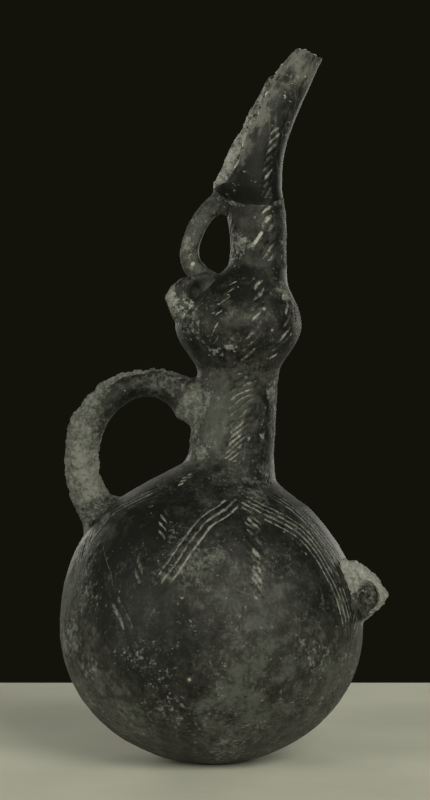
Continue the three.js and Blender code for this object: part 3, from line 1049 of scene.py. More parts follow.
class SharedEffect:
    """A shader node group with named sockets, used by every clay finish."""

    KINDS = {"value": "NodeSocketFloat", "colour": "NodeSocketColor", "vector": "NodeSocketVector"}

    def __init__(self, name: str, takes: dict[str, str], gives: dict[str, str]) -> None:
        """Makes the group and its sockets.

        Args:
            name: the group's name.
            takes: input sockets, name to kind.
            gives: output sockets, name to kind.
        """
        self.tree = bpy.data.node_groups.new(name, "ShaderNodeTree")
        for side, sockets in (("INPUT", takes), ("OUTPUT", gives)):
            for socket, kind in sockets.items():
                self.tree.interface.new_socket(name=socket, in_out=side, socket_type=self.KINDS[kind])
        self.sheet = NodeSheet(self.tree)
        self.taken = self.sheet.put("NodeGroupInput").outputs
        self.given = self.sheet.put("NodeGroupOutput").inputs

    def give(self, name: str, value: object) -> None:
        """Feeds one of the group's outputs."""
        self.sheet.feed(self.given[name], value)

    def place(self, sheet: NodeSheet, **inputs: object) -> bpy.types.NodeOutputs:
        """Places the group in a material with its inputs fed, and returns its outputs."""
        return sheet.fed("ShaderNodeGroup", inputs, node_tree=self.tree)


class ClayEffects:
    """The effects that every clay finish shares."""

    def __init__(self) -> None:
        """Builds each group once."""
        self.tone = self._tone()
        self.scuffs = self._scuffs()
        self.crust = self._crust()
        self.specks = self._specks()
        self.strokes = self._strokes()

    @staticmethod
    def _tone() -> SharedEffect:
        """Burnished clay: clouds, blotches and fine wear take it from dark to pale, and chips show.

        Returns:
            The group.
        """
        takes = {"Place": "vector", "Haze": "value", "Clouds": "value"}
        takes |= {"Dark": "colour", "Middle": "colour", "Pale": "colour", "Chip": "colour"}
        effect = SharedEffect("burnished tone", takes, {"Tone": "colour", "Wear": "value"})
        sheet, taken = effect.sheet, effect.taken
        clouds = sheet.noise(taken["Place"], scale=taken["Clouds"], detail=3.0, roughness=0.55)
        blotch_scale = sheet.maths("MULTIPLY", taken["Clouds"], 4.4)
        blotches = sheet.noise(taken["Place"], scale=blotch_scale, detail=6.0, roughness=0.7)
        fine_scale = sheet.maths("MULTIPLY", taken["Clouds"], 17.0)
        fine = sheet.noise(taken["Place"], scale=fine_scale, detail=5.0, roughness=0.76)
        level = sheet.total(-2.18, (clouds, 1.6), (blotches, 2.45), (fine, 1.15), (taken["Haze"], 0.5))
        low = sheet.blend(sheet.ease(level, 0.05, 0.58), taken["Dark"], taken["Middle"])
        worn = sheet.ease(level, 0.5, 1.1)
        tone = sheet.blend(worn, low, taken["Pale"])
        ragged = sheet.total(-1.2, (taken["Haze"], 1.0), (fine, 2.4))
        effect.give("Tone", sheet.blend(sheet.ease(ragged, 1.6, 2.0), tone, taken["Chip"]))
        effect.give("Wear", worn)
        return effect

    @staticmethod
    def _scuffs() -> SharedEffect:
        """Worn marks: clustered flecks where fine noise is high, and streaks from noise drawn out one way.

        Returns:
            The group.
        """
        takes = {"Place": "vector", "Amount": "value"}
        effect = SharedEffect("scuffs and scratches", takes, {"Mask": "value"})
        sheet, taken = effect.sheet, effect.taken
        patches = sheet.noise(taken["Place"], scale=34.0, detail=3.0, roughness=0.6)
        flecks = sheet.noise(taken["Place"], scale=330.0, detail=5.0, roughness=0.76)
        marks = sheet.ease(sheet.total(0.0, (flecks, 1.0), (patches, 0.7)), 0.92, 1.1)
        mapping = {"Vector": taken["Place"], "Rotation": (0.5, 0.9, 0.3), "Scale": (1.0, 1.0, 0.13)}
        drawn = sheet.fed("ShaderNodeMapping", mapping)[0]
        streaks = sheet.noise(drawn, scale=460.0, detail=3.0, roughness=0.7)
        scratches = sheet.ease(sheet.total(0.0, (streaks, 1.0), (patches, 0.5)), 0.86, 0.96)
        both = sheet.total(0.0, (marks, 0.75), (scratches, 0.4))
        effect.give("Mask", sheet.maths("MULTIPLY", both, taken["Amount"]))
        return effect

    @staticmethod
    def _crust() -> SharedEffect:
        """Pale lime crust with a broken edge, stained patches, fine grain and a lumpy height.

        Returns:
            The group.
        """
        takes = {"Place": "vector", "Cover": "value", "Lime": "colour", "Stained": "colour"}
        effect = SharedEffect("lime crust", takes, {"Mask": "value", "Colour": "colour", "Height": "value"})
        sheet, taken = effect.sheet, effect.taken
        patches = sheet.noise(taken["Place"], scale=60.0, detail=3.0, roughness=0.6)
        broken = sheet.noise(taken["Place"], scale=360.0, detail=5.0, roughness=0.74)
        grain = sheet.noise(taken["Place"], scale=820.0, detail=4.0, roughness=0.75)
        edge = sheet.total(-1.1, (taken["Cover"], 1.0), (broken, 1.6), (patches, 0.6))
        effect.give("Mask", sheet.ease(edge, 0.3, 0.48))
        stain = sheet.total(-1.15, (patches, 1.2), (broken, 1.5), (grain, 0.7), (taken["Cover"], 0.25))
        effect.give("Colour", sheet.blend(sheet.ease(stain, 0.46, 1.06), taken["Stained"], taken["Lime"]))
        effect.give("Height", sheet.total(0.0, (broken, 1.0), (grain, 0.8)))
        return effect

    @staticmethod
    def _specks() -> SharedEffect:
        """Small white specks: one ragged spot in some of the cells of a scattered grid, in clusters.

        Returns:
            The group.
        """
        effect = SharedEffect("lime specks", {"Place": "vector", "Density": "value"}, {"Mask": "value"})
        sheet, taken = effect.sheet, effect.taken
        push = sheet.noise(taken["Place"], scale=500.0, detail=2.0, roughness=0.5).node.outputs["Color"]
        pushed = {0: push, 1: (0.0035, 0.0035, 0.0035), 2: taken["Place"]}
        ruffled = sheet.fed("ShaderNodeVectorMath", pushed, operation="MULTIPLY_ADD")[0]
        cells = sheet.fed("ShaderNodeTexVoronoi", {"Vector": ruffled, "Scale": 400.0})
        chance, size, strength = sheet.fed("ShaderNodeSeparateColor", {0: cells["Color"]})
        crowding = sheet.noise(taken["Place"], scale=48.0, detail=3.0, roughness=0.6)
        cluster = sheet.ease(crowding, 0.36, 0.7)
        chosen = sheet.maths("LESS_THAN", chance, sheet.maths("MULTIPLY", cluster, taken["Density"]))
        reach = sheet.spread(sheet.maths("POWER", size, 2.5), 0.1, 0.4)
        spot = sheet.ease(cells["Distance"], reach, sheet.maths("MULTIPLY", reach, 0.45))
        seen = sheet.maths("MULTIPLY", chosen, sheet.spread(strength, 0.15, 0.8))
        effect.give("Mask", sheet.maths("MULTIPLY", spot, seen))
        return effect

    @staticmethod
    def _strokes() -> SharedEffect:
        """Incised strokes from the strokes attribute: each tapered and of its own length, the lime worn.

        Returns:
            The group.
        """
        takes = {"Place": "vector", "Strokes": "vector"}
        effect = SharedEffect("incised strokes", takes, {"Groove": "value", "Lime": "value"})
        sheet, taken = effect.sheet, effect.taken
        number, place, width = sheet.fed("ShaderNodeSeparateXYZ", {0: taken["Strokes"]})
        tremble = sheet.noise(taken["Place"], scale=480.0, detail=4.0, roughness=0.7)
        shake = sheet.maths("SUBTRACT", tremble, 0.5)
        shaken = sheet.total(number, (shake, 0.3))
        whole = sheet.maths("FLOOR", shaken)
        luck = sheet.fed("ShaderNodeTexWhiteNoise", {"W": whole}, noise_dimensions="1D")["Value"]
        off_line = sheet.maths("ABSOLUTE", sheet.maths("SUBTRACT", sheet.maths("FRACT", shaken), 0.5))
        from_middle = sheet.maths("ABSOLUTE", place)
        taper = sheet.total(1.0, (sheet.maths("POWER", from_middle, 3.0), -0.5))
        press = sheet.noise(taken["Place"], scale=210.0, detail=3.0, roughness=0.6)
        pressure = sheet.spread(sheet.ease(press, 0.3, 0.7), 0.55, 1.5)
        half = sheet.maths("MULTIPLY", sheet.maths("MULTIPLY", width, pressure), taper)
        inside = sheet.ease(off_line, sheet.maths("MULTIPLY", half, 1.6), sheet.maths("MULTIPLY", half, 0.3))
        inside = sheet.maths("MULTIPLY", inside, sheet.maths("GREATER_THAN", width, 0.0))
        reach = sheet.total(from_middle, (shake, 0.9), (luck, 0.65))
        groove = sheet.maths("MULTIPLY", inside, sheet.ease(reach, 1.2, 0.95))
        worn = sheet.noise(taken["Place"], scale=95.0, detail=6.0, roughness=0.74)
        kept = sheet.ease(sheet.total(-0.2, (worn, 1.35), (luck, 0.4)), 0.42, 0.88)
        flakes = sheet.noise(taken["Place"], scale=330.0, detail=4.0, roughness=0.66)
        flaked = sheet.ease(flakes, 0.28, 0.6)
        effect.give("Groove", groove)
        effect.give("Lime", sheet.maths("MULTIPLY", groove, sheet.maths("MULTIPLY", kept, flaked)))
        return effect


@dataclass(frozen=True)
class ClayFinish:
    """Colours and surface of one slot's clay."""

    slot: Slot
    dark: Colour = (0.0045, 0.0046, 0.0032)
    middle: Colour = (0.0215, 0.022, 0.0172)
    pale: Colour = (0.078, 0.08, 0.067)
    scuffed: Colour = (0.18, 0.184, 0.158)
    lime: Colour = (0.265, 0.27, 0.242)
    stained: Colour = (0.055, 0.057, 0.048)
    fill: Colour = (0.27, 0.275, 0.24)
    chip: Colour = (0.38, 0.38, 0.34)
    clouds: float = 26.0
    drawn_out: float = 1.0
    lean: float = 0.0
    scuffs: float = 0.8
    speck_density: float = 0.46
    speck_crowding: float = 1.7
    burnished: float = 0.55
    worn: float = 0.72
    crusted: float = 0.95
    shine: float = 0.3
    dust: float = 0.015
    dust_roughness: float = 0.4
    groove_shade: float = 0.55
    rubbed_haze: Station = (-0.9, 0.1)
    least_rubbed: float = 0.3
    grain_scale: float = 700.0
    bump_height: float = 0.0004
    bump_strength: float = 0.8

    def material(self, effects: ClayEffects) -> bpy.types.Material:
        """Wires the finish: burnished tone, then scuffs, crust, specks and lime-filled strokes laid over it.

        Args:
            effects: the shared node groups.

        Returns:
            The new material.
        """
        made = bpy.data.materials.new(self.slot.value)
        made.use_nodes = True
        made.node_tree.nodes.clear()
        sheet = NodeSheet(made.node_tree)
        place = sheet.put("ShaderNodeTexCoord").outputs["Object"]
        haze = sheet.read("haze")["Fac"]
        cover = sheet.read("crust")["Fac"]
        drawn = sheet.read("strokes")["Vector"]
        colours = {"Dark": self.dark, "Middle": self.middle, "Pale": self.pale, "Chip": self.chip}
        wiped = self._wiped(sheet, place)
        tone = effects.tone.place(sheet, Place=wiped, Haze=haze, Clouds=self.clouds, **colours)
        raised = sheet.spread(sheet.ease(haze, *self.rubbed_haze), self.least_rubbed, 1.0)
        rubbed = sheet.maths("MULTIPLY", raised, self.scuffs)
        scuffs = effects.scuffs.place(sheet, Place=place, Amount=rubbed)["Mask"]
        crust = effects.crust.place(sheet, Place=place, Cover=cover, Lime=self.lime, Stained=self.stained)
        crowded = sheet.total(self.speck_density, (cover, self.speck_crowding))
        specks = effects.specks.place(sheet, Place=place, Density=crowded)["Mask"]
        strokes = effects.strokes.place(sheet, Place=place, Strokes=drawn)
        colour = sheet.blend(scuffs, tone["Tone"], self.scuffed)
        colour = sheet.blend(crust["Mask"], colour, crust["Colour"])
        colour = sheet.blend(specks, colour, self.fill)
        # Painted shade: the incised grooves are darkened towards the dark clay before the lime fill goes over
        # them.
        shade = sheet.maths("MULTIPLY", strokes["Groove"], self.groove_shade)
        colour = sheet.blend(shade, colour, self.dark)
        colour = sheet.blend(strokes["Lime"], colour, self.fill)
        matt = sheet.maths("MAXIMUM", crust["Mask"], sheet.maths("MAXIMUM", strokes["Groove"], scuffs))
        smooth = sheet.spread(tone["Wear"], self.burnished, self.worn)
        rough = sheet.total(smooth, (matt, sheet.maths("SUBTRACT", self.crusted, smooth)))
        grain = sheet.noise(place, scale=self.grain_scale, detail=3.0, roughness=0.6)
        lumps = sheet.maths("MULTIPLY", crust["Mask"], crust["Height"])
        height = sheet.total(0.0, (lumps, 1.0), (strokes["Groove"], -0.5), (grain, 0.3), (scuffs, -0.3))
        bumps = {"Strength": self.bump_strength, "Distance": self.bump_height, "Height": height}
        normal = sheet.fed("ShaderNodeBump", bumps)["Normal"]
        surface = {"Base Color": colour, "Roughness": rough, "Normal": normal}
        surface |= {"Specular IOR Level": self.shine}
        surface |= {"Sheen Weight": self.dust, "Sheen Roughness": self.dust_roughness}
        clay = sheet.fed("ShaderNodeBsdfPrincipled", surface)["BSDF"]
        sheet.fed("ShaderNodeOutputMaterial", {"Surface": clay})
        return made

    def _wiped(self, sheet: NodeSheet, place: bpy.types.NodeSocket) -> bpy.types.NodeSocket:
        """Place squeezed along a line that leans towards +X, so that clouds come out as streaks of wiping.

        Args:
            sheet: the material's sheet.
            place: the plain place.

        Returns:
            The squeezed place.
        """
        turn = (0.0, np.radians(self.lean), 0.0)
        mapping = {"Vector": place, "Rotation": turn, "Scale": (1.0, 1.0, self.drawn_out)}
        return sheet.fed("ShaderNodeMapping", mapping, vector_type="TEXTURE")[0]


# Pieces


@dataclass
class Workshop:
    """What every sub-assembly works with: the form, the hand, the ornament and the finishes."""

    form: JugForm
    touch: HandTouch
    ornament: Ornament
    materials: dict[Slot, bpy.types.Material]

    def deliver(self, skin: Skin, node: str, slot: Slot) -> bpy.types.Object:
        """Makes the object of a finished skin, dresses it and ties it to the frame.

        Args:
            skin: the finished surface.
            node: the CAD node that it stands for.
            slot: the record's slot of its finish.

        Returns:
            The piece, named after its node.
        """
        piece = skin.to_object(f"{node}_clay")
        piece.data.materials.append(self.materials[slot])
        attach(piece, BODY)
        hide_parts(node)
        return piece

    def bare_masks(self, points: Array, crust_base: float, haze_base: float) -> dict[str, Array]:
        """Crust and haze at each point, and no strokes.

        Args:
            points: places in millimetres.
            crust_base: crust away from patches.
            haze_base: haze away from patches.

        Returns:
            The masks by name.
        """
        masks = {"crust": self.touch.crust(points, crust_base), "haze": self.touch.haze(points, haze_base)}
        masks["strokes"] = np.tile(BARE, (len(points), 1))
        return masks


@dataclass(frozen=True)
class WallCourse:
    """One course of the wall between two heights."""

    node: str
    slot: Slot
    low: float
    high: float
    rows: int
    columns: int
    crust: float
    haze: float

    @property
    def on_base(self) -> bool:
        """Whether the course starts on the flat base."""
        return self.low == 0.0


@dataclass
class Wall:
    """The courses of the wall from the base to the top of the bulb, each closed through its thickness."""

    shop: Workshop
    inner_rows: int = 12
    base_rows: int = 16
    base_ring: float = 0.8
    courses: tuple[WallCourse, ...] = (
        WallCourse("base_bowl", Slot.BODY, 0.0, 77.6, rows=112, columns=560, crust=0.04, haze=0.0),
        WallCourse("shoulder", Slot.BODY, 77.6, 181.0, rows=140, columns=640, crust=0.02, haze=0.0),
        WallCourse("lower_neck", Slot.NECK, 181.0, 231.0, rows=92, columns=300, crust=0.06, haze=0.1),
        WallCourse("bulb_cup", Slot.BULB, 231.0, 256.6, rows=52, columns=400, crust=0.03, haze=-0.05),
        WallCourse("bulb_dome", Slot.BULB, 256.6, 290.0, rows=76, columns=400, crust=0.02, haze=-0.1),
    )

    def build(self) -> list[bpy.types.Object]:
        """Builds and dresses every course."""
        return [self.shop.deliver(self.skin(course), course.node, course.slot) for course in self.courses]

    def _outside(self, course: WallCourse) -> tuple[Array, Array]:
        """Radius and height up the outside of a course, led by rings on the flat base if it stands on it.

        Args:
            course: the course to shape.

        Returns:
            Radius and height, row by row upwards.
        """
        form = self.shop.form
        length = np.linspace(form.length_at(course.low), form.length_at(course.high), course.rows)
        radius, height = form.outline_at(length)[:2]
        if course.on_base:
            rings = np.linspace(self.base_ring, radius[0], self.base_rows, endpoint=False)
            radius = np.concatenate([rings, radius])
            height = np.concatenate([np.zeros(self.base_rows), height])
        return radius, height

    def _inside(self, course: WallCourse) -> tuple[Array, Array]:
        """Radius and height down the inside of a course, set in from the outline by the wall.

        Args:
            course: the course to shape.

        Returns:
            Radius and height, row by row downwards.
        """
        form = self.shop.form
        length = np.linspace(form.length_at(course.high), form.length_at(course.low), self.inner_rows)
        radius, height, out, up = form.outline_at(length)
        depth = form.wall(height)
        return radius - depth * out, height - depth * up

    def skin(self, course: WallCourse) -> Skin:
        """Turns a course's section round the leaning axis and works its outside.

        The section runs up the outside, across the wall and down the inside. Outside points move along the
        outline's outward direction by the unevenness and relief, less the grooves.

        Args:
            course: the course to shape.

        Returns:
            The closed skin with its masks.
        """
        form, touch = self.shop.form, self.shop.touch
        azimuth = np.linspace(-180, 180, course.columns, endpoint=False)[None]
        radius, height = self._outside(course)
        outside = form.turned(radius[:, None], azimuth, height[:, None]).reshape(-1, 3)
        normals = form.wall_normal(outside)
        normals[: (len(radius) - course.rows) * course.columns] = (0.0, 0.0, -1.0)
        masks = self.shop.bare_masks(outside, course.crust, course.haze)
        masks["strokes"], groove = self.shop.ornament.at(outside, normals, len(radius))
        lift = touch.unevenness(outside) + touch.relief(outside, masks["crust"]) - groove
        worked = outside + lift[:, None] * normals
        worked[:, 2] = np.maximum(worked[:, 2], 0.0)
        inner_radius, inner_height = self._inside(course)
        inside = form.turned(inner_radius[:, None], azimuth, inner_height[:, None]).reshape(-1, 3)
        points = np.vstack([worked, inside])
        rows = len(radius) + self.inner_rows
        if course.on_base:
            skin = capped(np.vstack([points, (0.0, 0.0, 0.0), (0.0, 0.0, form.base_wall)]), rows)
        else:
            skin = hooped(points, rows)
        hidden = len(skin.points) - len(outside)
        for name, values in masks.items():
            skin.masks[name] = np.concatenate([values, self._plain(name, hidden)])
        return skin

    @staticmethod
    def _plain(mask: str, count: int) -> Array:
        """Mask values for the hidden inside of the wall."""
        return np.tile(BARE, (count, 1)) if mask == "strokes" else np.zeros(count)


@dataclass
class SocketNeck:
    """The upper neck, whose rim stands a little proud of the beak set into it and dips at front and back."""

    shop: Workshop
    foot: float = 290.0
    side_height: float = 331.6
    front_dip: float = 6.0
    back_dip: float = 4.5
    dip_power: float = 1.5
    lip: float = 1.4
    lip_at_sides: float = 0.3
    lip_heights: Station = (316.0, 327.0)
    lip_rings: int = 3
    lip_depth: float = 2.0
    lip_inset: float = 0.35
    lip_rises: Station = (0.45, 0.55, 0.2)
    clearance: float = 0.2
    socket_floor: float = 321.0
    socket_radius: float = 16.9
    bore_drop: float = 1.0
    bore_rings: int = 8
    rows: int = 80
    columns: int = 220
    crust: float = 0.06
    haze: float = 0.25
    rim_share: Station = (0.91, 0.98)
    rim_crust: float = 0.3
    rim_haze: float = 0.6

    def rim(self, azimuth: Array) -> Array:
        """Height of the rim: level at the sides, lower at front and back by a rounded dip.

        Args:
            azimuth: degrees round the jug.

        Returns:
            The height there.
        """
        facing = np.cos(np.radians(azimuth))
        front = self.front_dip * np.maximum(facing, 0) ** self.dip_power
        back = self.back_dip * np.maximum(-facing, 0) ** self.dip_power
        return self.side_height - (front + back)

    def outer_radius(self, azimuth: Array, height: Array) -> Array:
        """Half-width of the neck, easing out to the lip just outside the beak near the top.

        Args:
            azimuth: degrees round the jug.
            height: height on the neck.

        Returns:
            The half-width there.
        """
        form = self.shop.form
        neck = np.interp(height, form.outline[:, 1], form.outline[:, 0])
        facing = np.abs(np.cos(np.radians(azimuth)))
        lip = self.lip * (self.lip_at_sides + (1 - self.lip_at_sides) * facing)
        lipped = np.maximum(form.beak_width(height) + lip, neck)
        return neck + (lipped - neck) * smooth_step(*self.lip_heights, height)

    def _inner_rings(self, azimuth: Array, rim: Array) -> list[tuple[Array, Array]]:
        """Radius and height of the rings over the lip, down the socket beside the beak and down the bore.

        Args:
            azimuth: degrees round the jug.
            rim: height of the rim there.

        Returns:
            Radius and height of each ring, from the rim down.
        """
        form = self.shop.form
        edge = self.outer_radius(azimuth, rim)
        beside_beak = form.beak_width(rim) + self.clearance
        below = rim - self.lip_depth
        outer_rise, middle_rise, inner_rise = self.lip_rises
        rings = [
            (edge - self.lip_inset, rim + outer_rise),
            (0.5 * (edge + beside_beak), rim + middle_rise),
            (beside_beak, rim + inner_rise),
            (form.beak_width(below) + self.clearance, below),
            (np.full_like(rim, self.socket_radius), np.full_like(rim, self.socket_floor)),
        ]
        for level in np.linspace(self.socket_floor - self.bore_drop, self.foot, self.bore_rings):
            height = np.full_like(rim, level)
            rings.append((self.outer_radius(azimuth, height) - form.wall(level), height))
        return rings

    def build(self) -> bpy.types.Object:
        """Shapes and delivers the upper neck: up the outside to the rim and back down the inside.

        Returns:
            The piece.
        """
        form, touch = self.shop.form, self.shop.touch
        azimuth = np.linspace(-180, 180, self.columns, endpoint=False)[None]
        rim = self.rim(azimuth)
        rise = np.linspace(0, 1, self.rows)[:, None]
        height = self.foot + (rim - self.foot) * rise
        outside = form.turned(self.outer_radius(azimuth, height), azimuth, height).reshape(-1, 3)
        rings = [form.turned(radius, azimuth, level) for radius, level in self._inner_rings(azimuth, rim)]
        points = np.vstack([outside, np.concatenate(rings).reshape(-1, 3)])
        skin = hooped(points, self.rows + len(rings))
        outer_count = len(outside)
        worked_count = outer_count + self.lip_rings * self.columns
        worked = points[:worked_count]
        normals = form.wall_normal(worked)
        masks = self.shop.bare_masks(points, self.crust, self.haze)
        marks = self.shop.ornament.at(outside, normals[:outer_count], self.rows)
        masks["strokes"][:outer_count], groove = marks
        near_rim = np.zeros(len(points))
        near_rim[:outer_count] = smooth_step(*self.rim_share, np.broadcast_to(rise, height.shape)).ravel()
        near_rim[outer_count:worked_count] = 1.0
        masks["crust"] = np.clip(masks["crust"] + self.rim_crust * near_rim, 0, 1)
        # Paler towards the rim and over the lip: a painted highlight where the upward-facing lip catches
        # light; the crust on the line above is the rim's own.
        masks["haze"] = masks["haze"] + self.rim_haze * near_rim
        lift = touch.unevenness(worked) + touch.relief(worked, masks["crust"][:worked_count])
        lift[:outer_count] -= groove
        skin.points[:worked_count] += lift[:, None] * normals
        skin.masks = masks
        return self.shop.deliver(skin, "upper_neck", Slot.BULB)


@dataclass
class Beak:
    """The beak: an oval flaring tube whose back is cut away, with worn rims and a square-cut tip.

    The near rim is given as height and azimuth, the far rim as height and the degrees that it stops short of
    the middle of the back, and the wall as height and thickness.
    """

    shop: Workshop
    foot: float = 321.0
    mouth: float = 334.0
    tip_back: Station = (50.6, 418.6)
    tip_front: Station = (65.2, 413.3)
    near_rim: tuple[Station, ...] = (
        (334, -90), (336, -75), (337.9, -61.5), (338.7, -49), (340, -31), (345, -21), (352, -11), (360, -10),
        (370, -9.6), (376, -6), (388, -13), (394, -13.3), (401, -18.5), (408, -23.7), (413, -22), (420, -13),
    )
    far_gap: tuple[Station, ...] = (
        (334, 0), (335.2, 12), (338, 20), (350, 48), (360, 54.5), (374, 60.5), (392, 56), (404.6, 50),
        (406, 66), (412, 68), (420, 77),
    )
    wall: tuple[Station, ...] = ((321, 3.6), (336, 4.4), (400, 4.3), (420, 3.4))
    closed_rows: int = 18
    open_rows: int = 146
    row_crowding: float = 1.3
    columns: int = 170
    tip_rounds: int = 20
    rim_rows: int = 12
    rim_swell: float = 0.6
    far_slant: float = 17.0
    slant_rise: float = 14.0
    slant_end: Station = (400.0, 406.0)
    unevenness: float = 0.6
    crust: float = 0.04
    haze: float = 0.0
    inside_crust: float = 0.6
    inside_haze: float = 0.9
    rim_crust: float = 0.3
    rim_haze: float = 1.3
    rim_wear: float = 8.0
    rim_raggedness: float = 1.5
    rim_rag_size: float = 6.0
    unworn_gap: float = 20.0
    palest: float = 1.4

    def __post_init__(self) -> None:
        """Draws the curves of the two rims."""
        self.near_curve = SmoothCurve(self.near_rim)
        self.far_curve = SmoothCurve(self.far_gap)

    def azimuths(self, share: Array, height: Array) -> Array:
        """Azimuth across the beak: the near rim at share 0, round by the front, to the far rim at 1."""
        near = self.near_curve(height)
        return near + (270 - self.far_curve(height) - near) * share

    def top(self, share: Array) -> Array:
        """Height of the tip at a place across the beak, where the beak's side meets the slanting cut.

        Args:
            share: place across the beak.

        Returns:
            The height there.
        """
        form = self.shop.form
        fall = (self.tip_front[1] - self.tip_back[1]) / (self.tip_front[0] - self.tip_back[0])
        height = np.full_like(share, self.tip_front[1])
        for _ in range(self.tip_rounds):
            across = form.turned(form.beak_width(height), self.azimuths(share, height), height)[..., 0]
            height = 0.5 * height + 0.5 * (self.tip_back[1] + fall * (across - self.tip_back[0]))
        return height

    def build(self) -> bpy.types.Object:
        """Shapes and delivers the beak.

        A sheet of points runs up the beak in rows and from the near rim to the far rim in columns. Below the
        mouth the two rims are one line. The same sheet set in by the wall is the inside, slanting at the far
        rim, and a swelling strip joins the two edges.

        Returns:
            The piece.
        """
        form, touch = self.shop.form, self.shop.touch
        share = np.linspace(0, 1, self.columns)[None]
        closed = np.linspace(self.foot, self.mouth, self.closed_rows)[:, None] + 0 * share
        rise = np.linspace(0, 1, self.open_rows + 1)[1:, None] ** self.row_crowding
        height = np.vstack([closed, self.mouth + rise * (self.top(share) - self.mouth)])
        azimuth = self.azimuths(share, height)
        width = form.beak_width(height)
        slant = self.far_slant * smooth_step(self.mouth, self.mouth + self.slant_rise, height)
        slant = slant * (1 - smooth_step(*self.slant_end, height))
        outer = form.turned(width, azimuth, height)
        inner = form.turned(width - SmoothCurve(self.wall)(height), azimuth - slant * share, height)
        edge = self._edge(len(height))
        sheets = (outer, inner, self._rim_strip(outer, inner, edge))
        points = np.vstack([sheet.reshape(-1, 3) for sheet in sheets])
        quads = self._faces(len(height), edge)
        turn_to_rim = np.minimum(azimuth - azimuth[:, :1], azimuth[:, -1:] - azimuth)
        rim_gap = np.where(height > self.mouth, turn_to_rim * np.pi / 180 * width, self.unworn_gap)
        masks, groove = self._masks(points, rim_gap)
        skin = Skin(points, quads, masks=masks).trimmed().faced_outwards()
        relief = touch.relief(skin.points, skin.masks["crust"])
        lift = self.unevenness * touch.unevenness(skin.points) + relief
        used = np.unique(quads)
        outside = used < len(groove)
        lift[outside] -= groove[used[outside]]
        skin.points = skin.points + lift[:, None] * skin.normals()
        return self.shop.deliver(skin, "beak_spout", Slot.BEAK)

    def _edge(self, rows: int) -> tuple[Array, Array]:
        """Follows the sheet's edge: up the near rim from the mouth, over the tip, down the far rim.

        Args:
            rows: how many rows the sheet has.

        Returns:
            The row and the column of each place on the edge.
        """
        mouth_row = self.closed_rows - 1
        up = np.arange(mouth_row, rows)
        over = np.arange(1, self.columns - 1)
        down = np.arange(rows - 1, mouth_row, -1)
        edge_rows = np.concatenate([up, np.full_like(over, rows - 1), down])
        edge_columns = np.concatenate([np.zeros_like(up), over, np.full_like(down, self.columns - 1)])
        return edge_rows, edge_columns

    def _rim_strip(self, outer: Array, inner: Array, edge: tuple[Array, Array]) -> Array:
        """Points across the rim from the outside to the inside, swelling outwards as half an ellipse.

        Args:
            outer: the outside's sheet.
            inner: the inside's sheet.
            edge: rows and columns of the sheets' edge.

        Returns:
            The strip, a row for each step across the rim.
        """
        edge_rows, edge_columns = edge
        tip_row, mouth_row = len(outer) - 1, self.closed_rows - 1
        inward_rows = np.where(edge_rows == tip_row, tip_row - 1, edge_rows)
        inward_rows = np.where(edge_rows == mouth_row, mouth_row - 1, inward_rows)
        inward_columns = np.clip(edge_columns, 1, self.columns - 2)
        away = outer[edge] - outer[inward_rows, inward_columns]
        away /= np.linalg.norm(away, axis=1, keepdims=True)
        across = (np.arange(self.rim_rows) + 1.0)[:, None, None] / (self.rim_rows + 1)
        swell = self.rim_swell * np.sqrt(1 - (2 * across - 1) ** 2)
        return outer[edge] + across * (inner[edge] - outer[edge]) + swell * away

    def _faces(self, rows: int, edge: tuple[Array, Array]) -> Array:
        """Faces of the outside, the inside, the rim and the foot, numbered in that order of points.

        Args:
            rows: how many rows each sheet has.
            edge: rows and columns of the sheets' edge.

        Returns:
            The four-sided faces.
        """
        size = rows * self.columns
        grid = np.arange(size).reshape(rows, self.columns)
        grid[: self.closed_rows, -1] = grid[: self.closed_rows, 0]
        on_edge = grid[edge]
        strip = 2 * size + np.arange(self.rim_rows * len(on_edge)).reshape(self.rim_rows, -1)
        rim = np.vstack([on_edge, strip, on_edge + size])
        rim = np.hstack([rim, rim[:, :1]])
        foot = np.vstack([grid[0] + size, grid[0]])
        inside = grid_quads(grid + size)[:, ::-1]
        return np.vstack([grid_quads(grid), inside, grid_quads(rim), grid_quads(foot)])

    def _masks(self, points: Array, rim_gap: Array) -> tuple[dict[str, Array], Array]:
        """Masks of the whole beak: crusted inside, pale and worn towards the rims.

        Args:
            points: outside, inside and rim, one after another.
            rim_gap: distance from the nearer rim over the outside's sheet.

        Returns:
            The masks, and the depth of the grooves on the outside.
        """
        shop, size = self.shop, rim_gap.size
        outside = points[:size]
        masks = shop.bare_masks(points, self.crust, self.haze)
        marks = shop.ornament.at(outside, shop.form.wall_normal(outside), len(rim_gap))
        masks["strokes"][:size], groove = marks
        ragged = self.rim_raggedness * shop.touch.crust_noise.at(outside, self.rim_rag_size, layers=2)
        worn = 1 - smooth_step(0.0, self.rim_wear, rim_gap.ravel() + ragged)
        masks["haze"][:size] += self.rim_haze * worn
        masks["haze"][size:] += self.inside_haze
        masks["haze"] = np.minimum(masks["haze"], self.palest)
        masks["crust"][size:] = np.clip(masks["crust"][size:] + self.inside_crust, 0, 1)
        masks["crust"][2 * size :] = np.clip(masks["crust"][2 * size :] + self.rim_crust, 0, 1)
        return masks, groove


